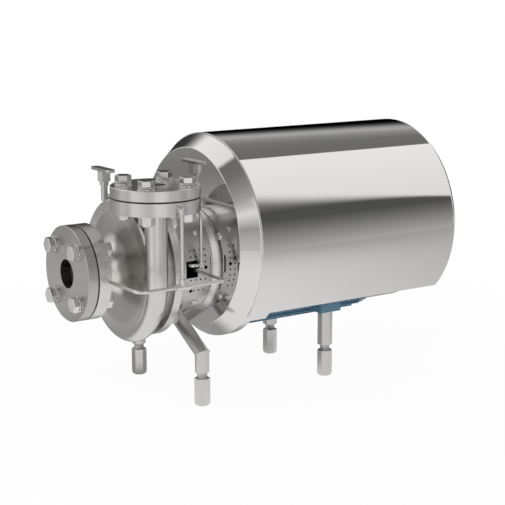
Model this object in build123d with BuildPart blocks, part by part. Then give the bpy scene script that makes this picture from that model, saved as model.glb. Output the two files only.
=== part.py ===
from build123d import *
import math
import os

# Sanitary centrifugal pump with flanged ports, lantern, motor, polished hood and four levelling feet.
# Millimetres. The shaft lies along Y, the suction port faces -Y, +Z is up.
# The origin is the centre of the suction port's outer face.

# Suction flange pair, nominal bore 50
SUCTION_BORE = 50.0
SUCTION_FLANGE_DIAMETER = 165.0
SUCTION_BOLTING_DIAMETER = 125.0
COUNTER_FLANGE_THICKNESS = 18.5
GASKET_THICKNESS = 2.0
SUCTION_FLANGE_THICKNESS = 22.0

# Discharge flange pair, nominal bore 40
DISCHARGE_FLANGE_DIAMETER = 150.0
DISCHARGE_BOLTING_DIAMETER = 110.0
DISCHARGE_FLANGE_THICKNESS = 22.0
DISCHARGE_HEIGHT = 157.0
NECK_DIAMETER = 38.0
NECK_WALL = 2.0

# Bolting of both flange pairs
FLANGE_BOLTS = 4
FLANGE_HOLE = 18.0
BOLT_DIAMETER = 16.0
BOLT_FLATS = 24.0
BOLT_HEAD = 10.0
NUT_HEIGHT = 13.0
WASHER_DIAMETER = 30.0
WASHER_THICKNESS = 3.0
LOCK_WASHER_DISC = 2.0
LOCK_WASHER_CROWN = 3.0
LOCK_CROWN_DIAMETER = 28.0
BOLT_CLEARANCE = 0.5
BOLT_TIP = 2.0
NUT_POCKET_GAP = 0.5
EDGE_BREAK = 1.0

# Casing, turned part
INLET_NECK_RADIUS = 38.0
INLET_NECK_LENGTH = 18.5
FLARE_RADIUS = 28.0
DISH_ANGLE = 9.5
CREASE_RADIUS = 97.0
RIM_RADIUS = 119.0
RIM_EDGE = 3.0
RIM_LENGTH = 32.0
SHOULDER_LENGTH = 4.0
RECESS_RADIUS = 106.0
RECESS_LENGTH = 10.0
CASING_FLANGE_RADIUS = 125.0
CASING_FLANGE_THICKNESS = 8.0
CASING_WALL = 4.0
COVER_SEAT_WALL = 3.0

# Casing, spiral tube
VOLUTE_SETBACK = 17.5
VOLUTE_START_ANGLE = 60.0
VOLUTE_STEP = 25.0
VOLUTE_STEPS = 12
VOLUTE_START_RADIUS = 9.0
VOLUTE_CENTRE_RADIUS = 103.0
VOLUTE_BULGE = 14.5

# Casing cover, its O-ring and studs
COVER_GAP = 0.2
COVER_LEAD = 1.0
COVER_PLATE = 6.0
COVER_WALL = 6.0
COVER_RIM_RADIUS = 108.0
COVER_RIM_THICKNESS = 3.0
COVER_HUB_RADIUS = 26.0
COVER_HUB_LENGTH = 4.5
O_RING_DIAMETER = 4.0
O_RING_ROOM = 0.4
STUD_COUNT = 4
STUD_DIAMETER = 12.0
STUD_CIRCLE_RADIUS = 116.0
STUD_TIP = 2.0
STUD_NUT_FLATS = 18.0
STUD_NUT_HEIGHT = 10.0

# Impeller and its nut
IMPELLER_RADIUS = 96.0
IMPELLER_SHROUD = 4.0
IMPELLER_BACK_GAP = 4.0
IMPELLER_BLADES = 6
BLADE_THICKNESS = 4.0
BLADE_START_RADIUS = 30.0
BLADE_SWEEP = 75.0
BLADE_MIDDLE_SWEEP = 0.42
BLADE_FRONT_GAP = 1.2
IMPELLER_HUB_RADIUS = 20.0
IMPELLER_HUB_FRONT = 18.0
IMPELLER_HUB_CONE = 6.0
IMPELLER_HUB_FOOT = 8.0
IMPELLER_BORE_RADIUS = 11.0
IMPELLER_NUT_RADIUS = 13.0
IMPELLER_NUT_LENGTH = 14.0
IMPELLER_NUT_CAP = 4.0
IMPELLER_HEXAGON_HEIGHT = 8.4
IMPELLER_DOME_RADIUS = 10.4
IMPELLER_DOME_HEIGHT = 8.0
IMPELLER_THREAD_RADIUS = 7.0

# Pump shaft with its socket, and the clamp ring
SHAFT_RADIUS = 14.0
COLLAR_RADIUS = 21.0
COLLAR_LENGTH = 12.0
SOCKET_RADIUS = 28.0
SOCKET_LENGTH = 62.0
SOCKET_REAR_GAP = 8.0
SOCKET_TAPER = 4.0
CLAMP_RADIUS = 40.0
CLAMP_LENGTH = 22.0
CLAMP_SCREWS = 6
CLAMP_SCREW_CENTRE_RADIUS = 34.0
CLAMP_SCREW_HOLE = 6.0
CLAMP_SCREW_DEPTH = 6.0
CLAMP_SETBACK = 4.0
CLAMP_EDGE = 2.0

# Mechanical seal
SEAL_RING_WALL = 6.0
SEAL_RING_LENGTH = 7.0
SEAL_RING_SETBACK = 1.0
SEAL_LIP = 1.5
SEAL_FILM = 0.1
SEAL_SHAFT_GAP = 2.0
SEAL_SPRING_WIRE = 2.0
SEAL_SPRING_GAP = 1.0
SEAL_SPRING_TURNS = 3.0
SEAL_SPRING_LENGTH = 13.0
RUNNING_GAP = 0.3
SEAL_COVER_RADIUS = 72.0
SEAL_COVER_FLANGE = 10.0
SEAL_COVER_TUBE = 34.0
SEAL_COVER_LIP = 6.0
SEAL_COVER_SETBACK = 2.0
SEAL_SCREW_CENTRE_RADIUS = 61.0
SEAL_SCREWS = 4
SEAL_SCREW_DIAMETER = 8.0
SEAL_SCREW_FLATS = 13.0
SEAL_SCREW_HEAD = 5.5
SEAL_SCREW_FLOOR = 1.0

# Lantern
LANTERN_LENGTH = 97.5
LANTERN_RADIUS = 90.0
LANTERN_WALL = 8.0
LANTERN_FLANGE_THICKNESS = 6.0
LANTERN_RING_RADIUS = 96.0
LANTERN_RING_LENGTH = 10.5
LANTERN_RING_TAPER = 5.0
SPIGOT_RADIUS = 62.0
SPIGOT_LENGTH = 4.0
WINDOW_TOP = 50.0
WINDOW_BOTTOM = -50.0
WINDOW_MARGIN = 12.0
WINDOW_REAR_MARGIN = 3.0
WINDOW_ROUNDING = 12.0
RING_EDGE = 2.0
LANTERN_BOLT_COUNT = 4
LANTERN_BOLT_CENTRE_RADIUS = 71.5
LANTERN_BOLT_DIAMETER = 10.0
LANTERN_BOLT_HEAD_DIAMETER = 16.0
LANTERN_BOLT_HEAD = 10.0
LANTERN_BOLT_SOCKET = 8.0
LANTERN_BOLT_DEPTH = 16.0

# Guards over the lantern windows
GUARD_THICKNESS = 1.5
GUARD_TOP_ANGLE = 62.0
GUARD_LOW_FRONT = -76.0
GUARD_LOW_REAR = -52.0
GUARD_FRONT_GAP = 2.0
GUARD_REAR_GAP = 0.3
GUARD_CORNER_ROUNDING = 14.0
GUARD_HOLE = 3.2
GUARD_HOLE_MARGIN = 3.0
GUARD_COLUMNS = 4
GUARD_COLUMN_Y = 191.7
GUARD_COLUMN_PITCH = 9.67
GUARD_ROWS = 8
GUARD_ROW_TOP = 32.0
GUARD_ROW_PITCH = 10.3
GUARD_LARGE_HOLE = 6.4
GUARD_LARGE_HOLES = ((0.35, 7), (3, 3))
GUARD_CUT_FRONT = 181.5
GUARD_CUT_REAR = 205.0
GUARD_CUT_TOP = 15.0
GUARD_CUT_BOTTOM = -15.0
GUARD_SLOT_WIDTH = 5.0
GUARD_SLOT_TOP = 17.7
GUARD_SLOT_BOTTOM = -13.2
GUARD_SCREW_DIAMETER = 8.0
GUARD_SCREW_HEAD = 3.0
GUARD_SCREW_Y = 211.5
GUARD_SCREW_ANGLES = (39.5, -45.0)
GUARD_TAB_RADIUS = 7.0
SOCKET_FLATS = 4.0
SOCKET_DEPTH = 2.0

# Hood
HOOD_SHEET = 1.5
HOOD_CENTRE_HEIGHT = 37.7
HOOD_RADIUS = 185.0
HOOD_CONE_DEPTH = 24.6
HOOD_CONE_LENGTH = 29.2
HOOD_CAP_FULL = 46.5
HOOD_CAP_SKIRT = 78.5
HOOD_SKIRT_CUT = -99.0
HOOD_SHELL_CUT = -85.5
HOOD_SHELL_LENGTH = 442.0
HOOD_SEAT_GAP = 0.1
HOOD_SHELL_SETBACK = 1.0
HOOD_LIP = 4.0
HOOD_PLATE_ROUNDING = 2.5
HOOD_CONE_ROUNDING = 4.0
HOOD_LIP_ROUNDING = 1.2
HOOD_SCREW_HEAD_DIAMETER = 12.0
HOOD_SCREW_HEAD = 3.0
SKIRT_HOLE_DIAMETER = 5.0
SKIRT_HOLE_SETBACK = 49.4
SKIRT_HOLE_ANGLE = -44.8
PLATE_SCREW_CENTRE_RADIUS = 108.5
PLATE_SCREW_ANGLES = (-29.0, 29.0, 151.0, 209.0)

# Motor
HOOD_AIR_GAP = 50.0
MOTOR_FLANGE_SETBACK = 15.0
MOTOR_FLANGE_THICKNESS = 14.0
MOTOR_WALL = 7.0
MOTOR_FINS = 36
FIN_HEIGHT = 17.0
FIN_THICKNESS = 3.0
FIN_ROOT = 1.0
SHIELD_STEP = 3.0
SHIELD_CONE = 12.0
SHIELD_BORE_GAP = 1.0
SPIGOT_WALL = 6.0
SPIGOT_FIT = 0.05
FRONT_SHIELD_LENGTH = 44.0
HOUSING_LENGTH = 288.0
REAR_SHIELD_LENGTH = 40.0
SHIELD_WALL = 8.0
COWL_SETBACK = 10.0
COWL_SHEET = 1.5
COWL_SHOULDER = 4.0
COWL_LENGTH = 92.0
COWL_OVERLAP = 16.0
COWL_SLOTS = 16
COWL_SLOT_CENTRE_RADIUS = 62.0
COWL_SLOT_LENGTH = 56.0
COWL_SLOT_WIDTH = 7.0
COWL_ROUNDING = 8.0
FAN_TIP_GAP = 17.0
FAN_DISC = 3.0
FAN_HUB_RADIUS = 32.0
FAN_BLADES = 8
FAN_BLADE_THICKNESS = 3.0
FAN_LENGTH = 34.0
FAN_GAP = 10.0
MOTOR_SHAFT_RADIUS = 19.0
MOTOR_SHAFT_REACH = 72.0
BEARING_BORE_RADIUS = 20.0
BEARING_RADIUS = 40.0
BEARING_WIDTH = 18.0
BEARING_BALLS = 9
BALL_DIAMETER = 12.0
BEARING_RUNNING_FIT = 0.05
BALL_ROOM = 0.02
RACE_GAP = 7.0
SHAFT_SHOULDER = 4.0
SHAFT_SHOULDER_GAP = 1.0
SHAFT_TAPER = 4.0
FAN_SEAT_STEP = 2.0
ROTOR_RADIUS = 70.0
AIR_GAP = 0.5
STATOR_LENGTH = 190.0
WINDING_LENGTH = 34.0
WINDING_INNER = 76.0
WINDING_SETBACK = 14.0

# Terminal box
BOX_WIDTH = 104.0
BOX_LENGTH = 112.0
BOX_HEIGHT = 50.0
BOX_WALL = 3.5
BOX_REACH = 68.0
BOX_ROUNDING = 8.0
BOX_PAD_DEPTH = 6.0
LID_THICKNESS = 6.0
LID_ROUNDING = 2.0
CABLE_GLAND_FLATS = 36.0
CABLE_GLAND_BORE = 18.0
CABLE_GLAND_WALL = 4.0
CABLE_GLAND_HEXAGON = 8.0
CABLE_GLAND_STEP = 2.0
CABLE_GLAND_CAP = 16.0
CABLE_GLAND_TAPER_ANGLE = 8.0

# Legs and levelling feet
FLOOR = -238.0
FRONT_FOOT_X = 112.6
FRONT_LEG_SETBACK = 43.7
REAR_FOOT_X = 89.8
REAR_LEG_SETBACK = 190.8
FRONT_COLUMN_DIAMETER = 25.0
STRUT_ANGLE = 30.0
MITRE_HEIGHT = -144.6
FOOT_FLATS = 24.0
FOOT_LENGTH = 50.0
FOOT_BORE_DEPTH = 42.0
FOOT_ROUNDING = 6.0
FOOT_NECK = 10.0
LEG_THREAD_DIAMETER = 18.0
LEG_THREAD_LENGTH = 42.0
THREAD_FIT = 0.08
LEG_BOSS_WIDTH = 34.0
LEG_BOSS_LENGTH = 46.0
LEG_BOSS_DROP = 2.7
LEG_BOSS_TOP = -60.0

# Flush and quench pipework
TUBE_DIAMETER = 6.0
TUBE_WALL = 1.0
TUBE_X = 194.0
TUBE_BEND = 18.0
TIGHT_BEND = 10.0
PORT_FLATS = 10.0
PORT_LENGTH = 8.0
PORT_HEXAGON_LENGTH = 4.8
PORT_COLLAR_DIAMETER = 8.0
FITTING_DIAMETER = 11.0
TEE_LENGTH = 26.0
SEAL_PORT_X = 48.0
SEAL_LINE_Y = 195.0
QUENCH_X = 98.0
QUENCH_PORT_X = 62.0
QUENCH_LINE_Y = 186.5
QUENCH_RISER_Y = 207.0
QUENCH_LOW = 8.0
QUENCH_HIGH = 99.0

# Quarter-turn valve on the far side
VALVE_X = -143.0
VALVE_Y = 149.0
VALVE_STEM_DIAMETER = 12.0
VALVE_STEP_DIAMETER = 16.0
VALVE_STEP_HEIGHT = 8.0
VALVE_BODY_DIAMETER = 22.5
VALVE_BODY_HEIGHT = 18.0
VALVE_STEM_HEIGHT = 22.0
VALVE_ARM_LENGTH = 10.0
VALVE_STEM_FOOT = 7.0
VALVE_BORE_FLOOR = 3.0
HANDLE_LENGTH = 72.0
HANDLE_SETBACK = 4.0
HANDLE_WIDTH = 18.0
HANDLE_THICKNESS = 5.0
HANDLE_SPINDLE_DIAMETER = 8.0
HANDLE_SPINDLE_FLOOR = 4.0
HANDLE_HUB_HEIGHT = 4.0

# Radii of the motor inside the hood
motor_fin_radius = HOOD_RADIUS - HOOD_AIR_GAP
motor_core_radius = motor_fin_radius - FIN_HEIGHT
motor_bore_radius = motor_core_radius - MOTOR_WALL
motor_flange_radius = motor_fin_radius - MOTOR_FLANGE_SETBACK
shield_radius = motor_fin_radius - SHIELD_STEP
cowl_radius = motor_fin_radius - COWL_SETBACK
fan_radius = cowl_radius - FAN_TIP_GAP
shaft_seat_radius = BEARING_BORE_RADIUS - BEARING_RUNNING_FIT
fan_seat_radius = BEARING_BORE_RADIUS - FAN_SEAT_STEP
rotor_bore_radius = BEARING_BORE_RADIUS + SHAFT_SHOULDER

# Stations along the shaft
suction_gasket_y = COUNTER_FLANGE_THICKNESS
suction_flange_y = suction_gasket_y + GASKET_THICKNESS
neck_y = suction_flange_y + SUCTION_FLANGE_THICKNESS
flare_y = neck_y + INLET_NECK_LENGTH
dish_tangent = math.tan(math.radians(DISH_ANGLE))
dish_start_radius = INLET_NECK_RADIUS + FLARE_RADIUS * (1 - math.sin(math.radians(DISH_ANGLE)))
dish_start_y = flare_y + FLARE_RADIUS * math.cos(math.radians(DISH_ANGLE))
crease_y = dish_start_y + (CREASE_RADIUS - dish_start_radius) * dish_tangent
volute_y = crease_y + VOLUTE_SETBACK
shoulder_y = crease_y + RIM_LENGTH
recess_y = shoulder_y + SHOULDER_LENGTH
casing_flange_y = recess_y + RECESS_LENGTH
casing_back_y = casing_flange_y + CASING_FLANGE_THICKNESS
lantern_flange_back_y = casing_back_y + LANTERN_FLANGE_THICKNESS
motor_face_y = casing_back_y + LANTERN_LENGTH + HOOD_SHEET
lantern_ring_y = casing_back_y + LANTERN_LENGTH - LANTERN_RING_LENGTH

# Inside of the casing
chamber_radius = RIM_RADIUS - CASING_WALL
cover_bore_radius = RECESS_RADIUS - COVER_SEAT_WALL
inner_dish_shift = CASING_WALL / math.cos(math.radians(DISH_ANGLE))


def inner_dish_y(radius):
    """Station of the inner face of the dished front wall at a radius."""
    return crease_y + inner_dish_shift - (CREASE_RADIUS - radius) * dish_tangent


# Stations of cover and seal
cover_front_y = recess_y - COVER_LEAD
cover_back_y = cover_front_y + COVER_PLATE
seal_face_y = cover_front_y + SEAL_LIP + SEAL_RING_LENGTH
collar_y = seal_face_y + SEAL_RING_LENGTH + SEAL_SPRING_LENGTH
socket_y = motor_face_y - SOCKET_REAR_GAP - SOCKET_LENGTH
motor_shaft_tip_y = motor_face_y - MOTOR_SHAFT_REACH
housing_y = motor_face_y + FRONT_SHIELD_LENGTH
housing_back_y = housing_y + HOUSING_LENGTH
rear_shield_back_y = housing_back_y + REAR_SHIELD_LENGTH
cowl_y = rear_shield_back_y - COWL_OVERLAP
cowl_back_y = cowl_y + COWL_LENGTH
front_bearing_y = motor_face_y + MOTOR_FLANGE_THICKNESS
rear_bearing_y = rear_shield_back_y - SHIELD_WALL - BEARING_WIDTH
front_leg_y = lantern_flange_back_y + FRONT_LEG_SETBACK
rear_leg_y = housing_y + REAR_LEG_SETBACK
foot_top = FLOOR + FOOT_LENGTH
column_bottom = foot_top + FOOT_NECK
leg_boss_bottom = -math.sqrt(motor_fin_radius ** 2 - (REAR_FOOT_X - FOOT_FLATS / 2) ** 2) - LEG_BOSS_DROP


def volute_tube_radius(angle):
    """Outer radius of the spiral tube: its section grows evenly along the spiral."""
    share = (angle - VOLUTE_START_ANGLE) / (VOLUTE_STEP * VOLUTE_STEPS)
    end_radius = NECK_DIAMETER / 2
    return math.sqrt(VOLUTE_START_RADIUS ** 2 * (1 - share) + end_radius ** 2 * share)


def volute_centre_radius(angle):
    """Distance of the tube's centre from the shaft."""
    return VOLUTE_CENTRE_RADIUS + VOLUTE_BULGE * math.sin(math.radians((angle - VOLUTE_START_ANGLE) / 2))


def volute_plane(angle):
    """Plane across the spiral tube, its normal along the flow."""
    a = math.radians(angle)
    radius = volute_centre_radius(angle)
    return Plane(
        origin=(radius * math.cos(a), volute_y, radius * math.sin(a)),
        x_dir=(math.cos(a), 0, math.sin(a)),
        z_dir=(-math.sin(a), 0, math.cos(a)),
    )


volute_angles = [VOLUTE_START_ANGLE + VOLUTE_STEP * i for i in range(VOLUTE_STEPS + 1)]
discharge_x = volute_centre_radius(volute_angles[-1])
discharge_gasket_z = DISCHARGE_HEIGHT - COUNTER_FLANGE_THICKNESS - GASKET_THICKNESS
discharge_flange_z = discharge_gasket_z - DISCHARGE_FLANGE_THICKNESS
discharge_bore_radius = NECK_DIAMETER / 2 - NECK_WALL


def save(piece, name):
    """Label a finished piece and write it out."""
    piece.label = name
    export_step(piece, f"parts/{name}.step")


def facing_front(y):
    """Plane across the shaft whose normal points to the suction side."""
    return Plane.XZ.offset(-y)


def ring(outer, inner, y, length):
    """Plain ring around the shaft axis from station y."""
    with BuildPart() as part:
        with BuildSketch(facing_front(y)):
            Circle(outer)
            Circle(inner, mode=Mode.SUBTRACT)
        extrude(amount=-length)
    return part.part


def hexagon_screw(flats, head, diameter, length, chamfer_size=EDGE_BREAK):
    """Hexagon screw with its seat at the local origin and its shank along -Z."""
    with BuildPart() as screw:
        with BuildSketch():
            RegularPolygon(flats / 2, 6, major_radius=False)
        extrude(amount=head)
        chamfer(screw.faces().sort_by(Axis.Z)[-1].edges(), chamfer_size)
        with BuildSketch():
            Circle(diameter / 2)
        extrude(amount=-length)
    return screw.part


def hexagon_nut(flats, height, bore, chamfer_size=EDGE_BREAK):
    """Hexagon nut standing on the local origin."""
    with BuildPart() as nut:
        with BuildSketch():
            RegularPolygon(flats / 2, 6, major_radius=False)
        extrude(amount=height)
        chamfer(nut.faces().sort_by(Axis.Z)[-1].edges(), chamfer_size)
        Hole(bore / 2)
    return nut.part


def turned_places(radius, count, start, y, towards_front=True):
    """Places on a circle around the shaft, with local Z along -Y or +Y."""
    places = []
    for i in range(count):
        a = math.radians(start + 360.0 * i / count)
        z_dir = (0, -1, 0) if towards_front else (0, 1, 0)
        origin = (radius * math.cos(a), y, radius * math.sin(a))
        places.append(Plane(origin=origin, x_dir=(1, 0, 0), z_dir=z_dir).location)
    return places


def group(piece, places):
    """Copies of one piece at all places, as separate solids."""
    with BuildPart() as part:
        with Locations(*places):
            add(piece)
    return part.part


os.makedirs("parts", exist_ok=True)

# Counter flanges and gaskets
bolt_angle = 180.0 / FLANGE_BOLTS


def flange_disc(plane, diameter, thickness, bore_radius, bolt_circle, edge):
    """Flat flange with its bore and bolt holes, extruded along the plane's normal."""
    with BuildPart() as disc:
        with BuildSketch(plane):
            Circle(diameter / 2)
            Circle(bore_radius, mode=Mode.SUBTRACT)
            with PolarLocations(bolt_circle / 2, FLANGE_BOLTS, start_angle=bolt_angle):
                Circle(FLANGE_HOLE / 2, mode=Mode.SUBTRACT)
        extrude(amount=thickness)
        if edge:
            chamfer(disc.edges().filter_by(GeomType.CIRCLE).sort_by(SortBy.RADIUS)[-2:], edge)
    return disc.part


suction_counter_flange = flange_disc(
    facing_front(suction_gasket_y), SUCTION_FLANGE_DIAMETER, COUNTER_FLANGE_THICKNESS,
    SUCTION_BORE / 2, SUCTION_BOLTING_DIAMETER, EDGE_BREAK,
)
save(suction_counter_flange, "suction_counter_flange")

suction_gasket = flange_disc(
    facing_front(suction_flange_y), SUCTION_FLANGE_DIAMETER - 2 * EDGE_BREAK, GASKET_THICKNESS,
    SUCTION_BORE / 2, SUCTION_BOLTING_DIAMETER, 0,
)
save(suction_gasket, "suction_gasket")

discharge_origin = (discharge_x, volute_y, 0)
discharge_plane = Plane(origin=discharge_origin, x_dir=(1, 0, 0), z_dir=(0, 0, 1))

discharge_counter_flange = flange_disc(
    discharge_plane.offset(DISCHARGE_HEIGHT - COUNTER_FLANGE_THICKNESS), DISCHARGE_FLANGE_DIAMETER,
    COUNTER_FLANGE_THICKNESS, discharge_bore_radius, DISCHARGE_BOLTING_DIAMETER, EDGE_BREAK,
)
save(discharge_counter_flange, "discharge_counter_flange")

discharge_gasket = flange_disc(
    discharge_plane.offset(discharge_gasket_z), DISCHARGE_FLANGE_DIAMETER - 2 * EDGE_BREAK,
    GASKET_THICKNESS, discharge_bore_radius, DISCHARGE_BOLTING_DIAMETER, 0,
)
save(discharge_gasket, "discharge_gasket")

# Bolts, washers and nuts of both flange pairs
suction_seats = turned_places(SUCTION_BOLTING_DIAMETER / 2, FLANGE_BOLTS, bolt_angle, 0.0)
suction_nut_seats = turned_places(SUCTION_BOLTING_DIAMETER / 2, FLANGE_BOLTS, bolt_angle, neck_y, False)
discharge_seats = []
discharge_nut_seats = []
for i in range(FLANGE_BOLTS):
    a = math.radians(bolt_angle + 360.0 * i / FLANGE_BOLTS)
    x = discharge_x + DISCHARGE_BOLTING_DIAMETER / 2 * math.cos(a)
    y = volute_y + DISCHARGE_BOLTING_DIAMETER / 2 * math.sin(a)
    discharge_seats.append(Plane(origin=(x, y, DISCHARGE_HEIGHT), z_dir=(0, 0, 1)).location)
    discharge_nut_seats.append(Plane(origin=(x, y, discharge_flange_z), z_dir=(0, 0, -1)).location)

suction_grip = neck_y
discharge_grip = DISCHARGE_HEIGHT - discharge_flange_z
lock_washer_height = LOCK_WASHER_DISC + LOCK_WASHER_CROWN


def flange_bolt(grip):
    """Flange bolt whose lock washer stands on the local origin."""
    length = lock_washer_height + grip + WASHER_THICKNESS + NUT_HEIGHT + BOLT_TIP
    screw = hexagon_screw(BOLT_FLATS, BOLT_HEAD, BOLT_DIAMETER, length)
    return screw.moved(Location((0, 0, lock_washer_height)))


with BuildPart() as lock_washer:
    with BuildSketch():
        Circle(WASHER_DIAMETER / 2)
    extrude(amount=LOCK_WASHER_DISC)
    with BuildSketch():
        Circle(LOCK_CROWN_DIAMETER / 2)
    extrude(amount=lock_washer_height)
    with BuildSketch():
        Circle(BOLT_DIAMETER / 2 + BOLT_CLEARANCE)
    extrude(amount=lock_washer_height, mode=Mode.SUBTRACT)

with BuildPart() as flange_washer:
    with BuildSketch():
        Circle(WASHER_DIAMETER / 2)
        Circle(BOLT_DIAMETER / 2 + BOLT_CLEARANCE, mode=Mode.SUBTRACT)
    extrude(amount=WASHER_THICKNESS)
flange_nut = hexagon_nut(BOLT_FLATS, NUT_HEIGHT, BOLT_DIAMETER).moved(Location((0, 0, WASHER_THICKNESS)))

with BuildPart() as flange_bolts:
    with Locations(*suction_seats):
        add(flange_bolt(suction_grip))
    with Locations(*discharge_seats):
        add(flange_bolt(discharge_grip))
save(flange_bolts.part, "flange_bolts")

save(group(lock_washer.part, suction_seats + discharge_seats), "lock_washers")
save(group(flange_washer.part, suction_nut_seats + discharge_nut_seats), "flange_washers")
save(group(flange_nut, suction_nut_seats + discharge_nut_seats), "flange_nuts")

# Relief around the discharge bolt that stands closest to the shaft, in casing and lantern flange
pocket_bottom = discharge_flange_z - WASHER_THICKNESS - NUT_HEIGHT
pocket_x = discharge_x - DISCHARGE_BOLTING_DIAMETER / 2 * math.cos(math.radians(bolt_angle))
pocket_y = volute_y + DISCHARGE_BOLTING_DIAMETER / 2 * math.sin(math.radians(bolt_angle))
with BuildPart() as nut_pocket:
    with BuildSketch(Plane.XY.offset(pocket_bottom - NUT_POCKET_GAP)):
        with Locations((pocket_x, pocket_y)):
            Circle(WASHER_DIAMETER / 2 + NUT_POCKET_GAP)
    extrude(amount=discharge_flange_z - pocket_bottom + NUT_POCKET_GAP)
    with BuildSketch(Plane.XY.offset(pocket_bottom - BOLT_TIP - NUT_POCKET_GAP)):
        with Locations((pocket_x, pocket_y)):
            Circle(BOLT_DIAMETER / 2 + NUT_POCKET_GAP)
    extrude(amount=BOLT_TIP + NUT_POCKET_GAP)

# Casing: turned body, spiral tube, neck and flanges
stud_places = turned_places(STUD_CIRCLE_RADIUS, STUD_COUNT, 180.0 / STUD_COUNT, casing_back_y, False)
rim_y = crease_y + RIM_EDGE
port_y = suction_flange_y + SUCTION_FLANGE_THICKNESS / 2
port_z = discharge_flange_z + DISCHARGE_FLANGE_THICKNESS / 2

with BuildPart() as casing:
    with BuildSketch(Plane.XY):
        with BuildLine():
            flange_front = Line((0, suction_flange_y), (SUCTION_FLANGE_DIAMETER / 2, suction_flange_y))
            flange_rim = Line(flange_front @ 1, (SUCTION_FLANGE_DIAMETER / 2, neck_y))
            flange_back = Line(flange_rim @ 1, (INLET_NECK_RADIUS, neck_y))
            neck = Line(flange_back @ 1, (INLET_NECK_RADIUS, flare_y))
            flare = JernArc(neck @ 1, (0, 1), FLARE_RADIUS, DISH_ANGLE - 90)
            dish = Line(flare @ 1, (CREASE_RADIUS, crease_y))
            Polyline(
                dish @ 1,
                (RIM_RADIUS - RIM_EDGE, crease_y),
                (RIM_RADIUS, rim_y),
                (RIM_RADIUS, shoulder_y),
                (RECESS_RADIUS, recess_y),
                (RECESS_RADIUS, casing_flange_y),
                (CASING_FLANGE_RADIUS, casing_flange_y),
                (CASING_FLANGE_RADIUS, casing_back_y),
                (0, casing_back_y),
                (0, suction_flange_y),
            )
        make_face()
    revolve(axis=Axis.Y)
    for angle in volute_angles:
        with BuildSketch(volute_plane(angle)):
            Circle(volute_tube_radius(angle))
    loft()
    with BuildSketch(discharge_plane):
        Circle(NECK_DIAMETER / 2)
    extrude(amount=discharge_flange_z)
    with BuildSketch(discharge_plane.offset(discharge_flange_z)):
        Circle(DISCHARGE_FLANGE_DIAMETER / 2)
    extrude(amount=DISCHARGE_FLANGE_THICKNESS)
    with BuildSketch(Plane.XY):
        with BuildLine():
            Polyline(
                (0, suction_flange_y),
                (SUCTION_BORE / 2, suction_flange_y),
                (SUCTION_BORE / 2, inner_dish_y(SUCTION_BORE / 2)),
                (CREASE_RADIUS, inner_dish_y(CREASE_RADIUS)),
                (chamber_radius, inner_dish_y(CREASE_RADIUS)),
                (chamber_radius, shoulder_y - CASING_WALL),
                (cover_bore_radius, recess_y - CASING_WALL),
                (cover_bore_radius, casing_back_y - COVER_RIM_THICKNESS),
                (COVER_RIM_RADIUS + COVER_GAP, casing_back_y - COVER_RIM_THICKNESS),
                (COVER_RIM_RADIUS + COVER_GAP, casing_back_y),
                (0, casing_back_y),
                close=True,
            )
        make_face()
    revolve(axis=Axis.Y, mode=Mode.SUBTRACT)
    for angle in volute_angles:
        with BuildSketch(volute_plane(angle)):
            Circle(volute_tube_radius(angle) - NECK_WALL)
    loft(mode=Mode.SUBTRACT)
    with BuildSketch(discharge_plane):
        Circle(discharge_bore_radius)
    extrude(amount=discharge_gasket_z, mode=Mode.SUBTRACT)
    with BuildSketch(discharge_plane.offset(discharge_flange_z)):
        with PolarLocations(DISCHARGE_BOLTING_DIAMETER / 2, FLANGE_BOLTS, start_angle=bolt_angle):
            Circle(FLANGE_HOLE / 2)
    extrude(amount=DISCHARGE_FLANGE_THICKNESS, mode=Mode.SUBTRACT)
    with BuildSketch(facing_front(neck_y)):
        with PolarLocations(SUCTION_BOLTING_DIAMETER / 2, FLANGE_BOLTS, start_angle=bolt_angle):
            Circle(FLANGE_HOLE / 2)
    extrude(amount=SUCTION_FLANGE_THICKNESS, mode=Mode.SUBTRACT)
    with Locations(*stud_places):
        Cylinder(
            STUD_DIAMETER / 2, CASING_FLANGE_THICKNESS,
            align=(Align.CENTER, Align.CENTER, Align.MAX), mode=Mode.SUBTRACT,
        )
    add(nut_pocket.part, mode=Mode.SUBTRACT)
save(casing.part, "casing")

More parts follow.
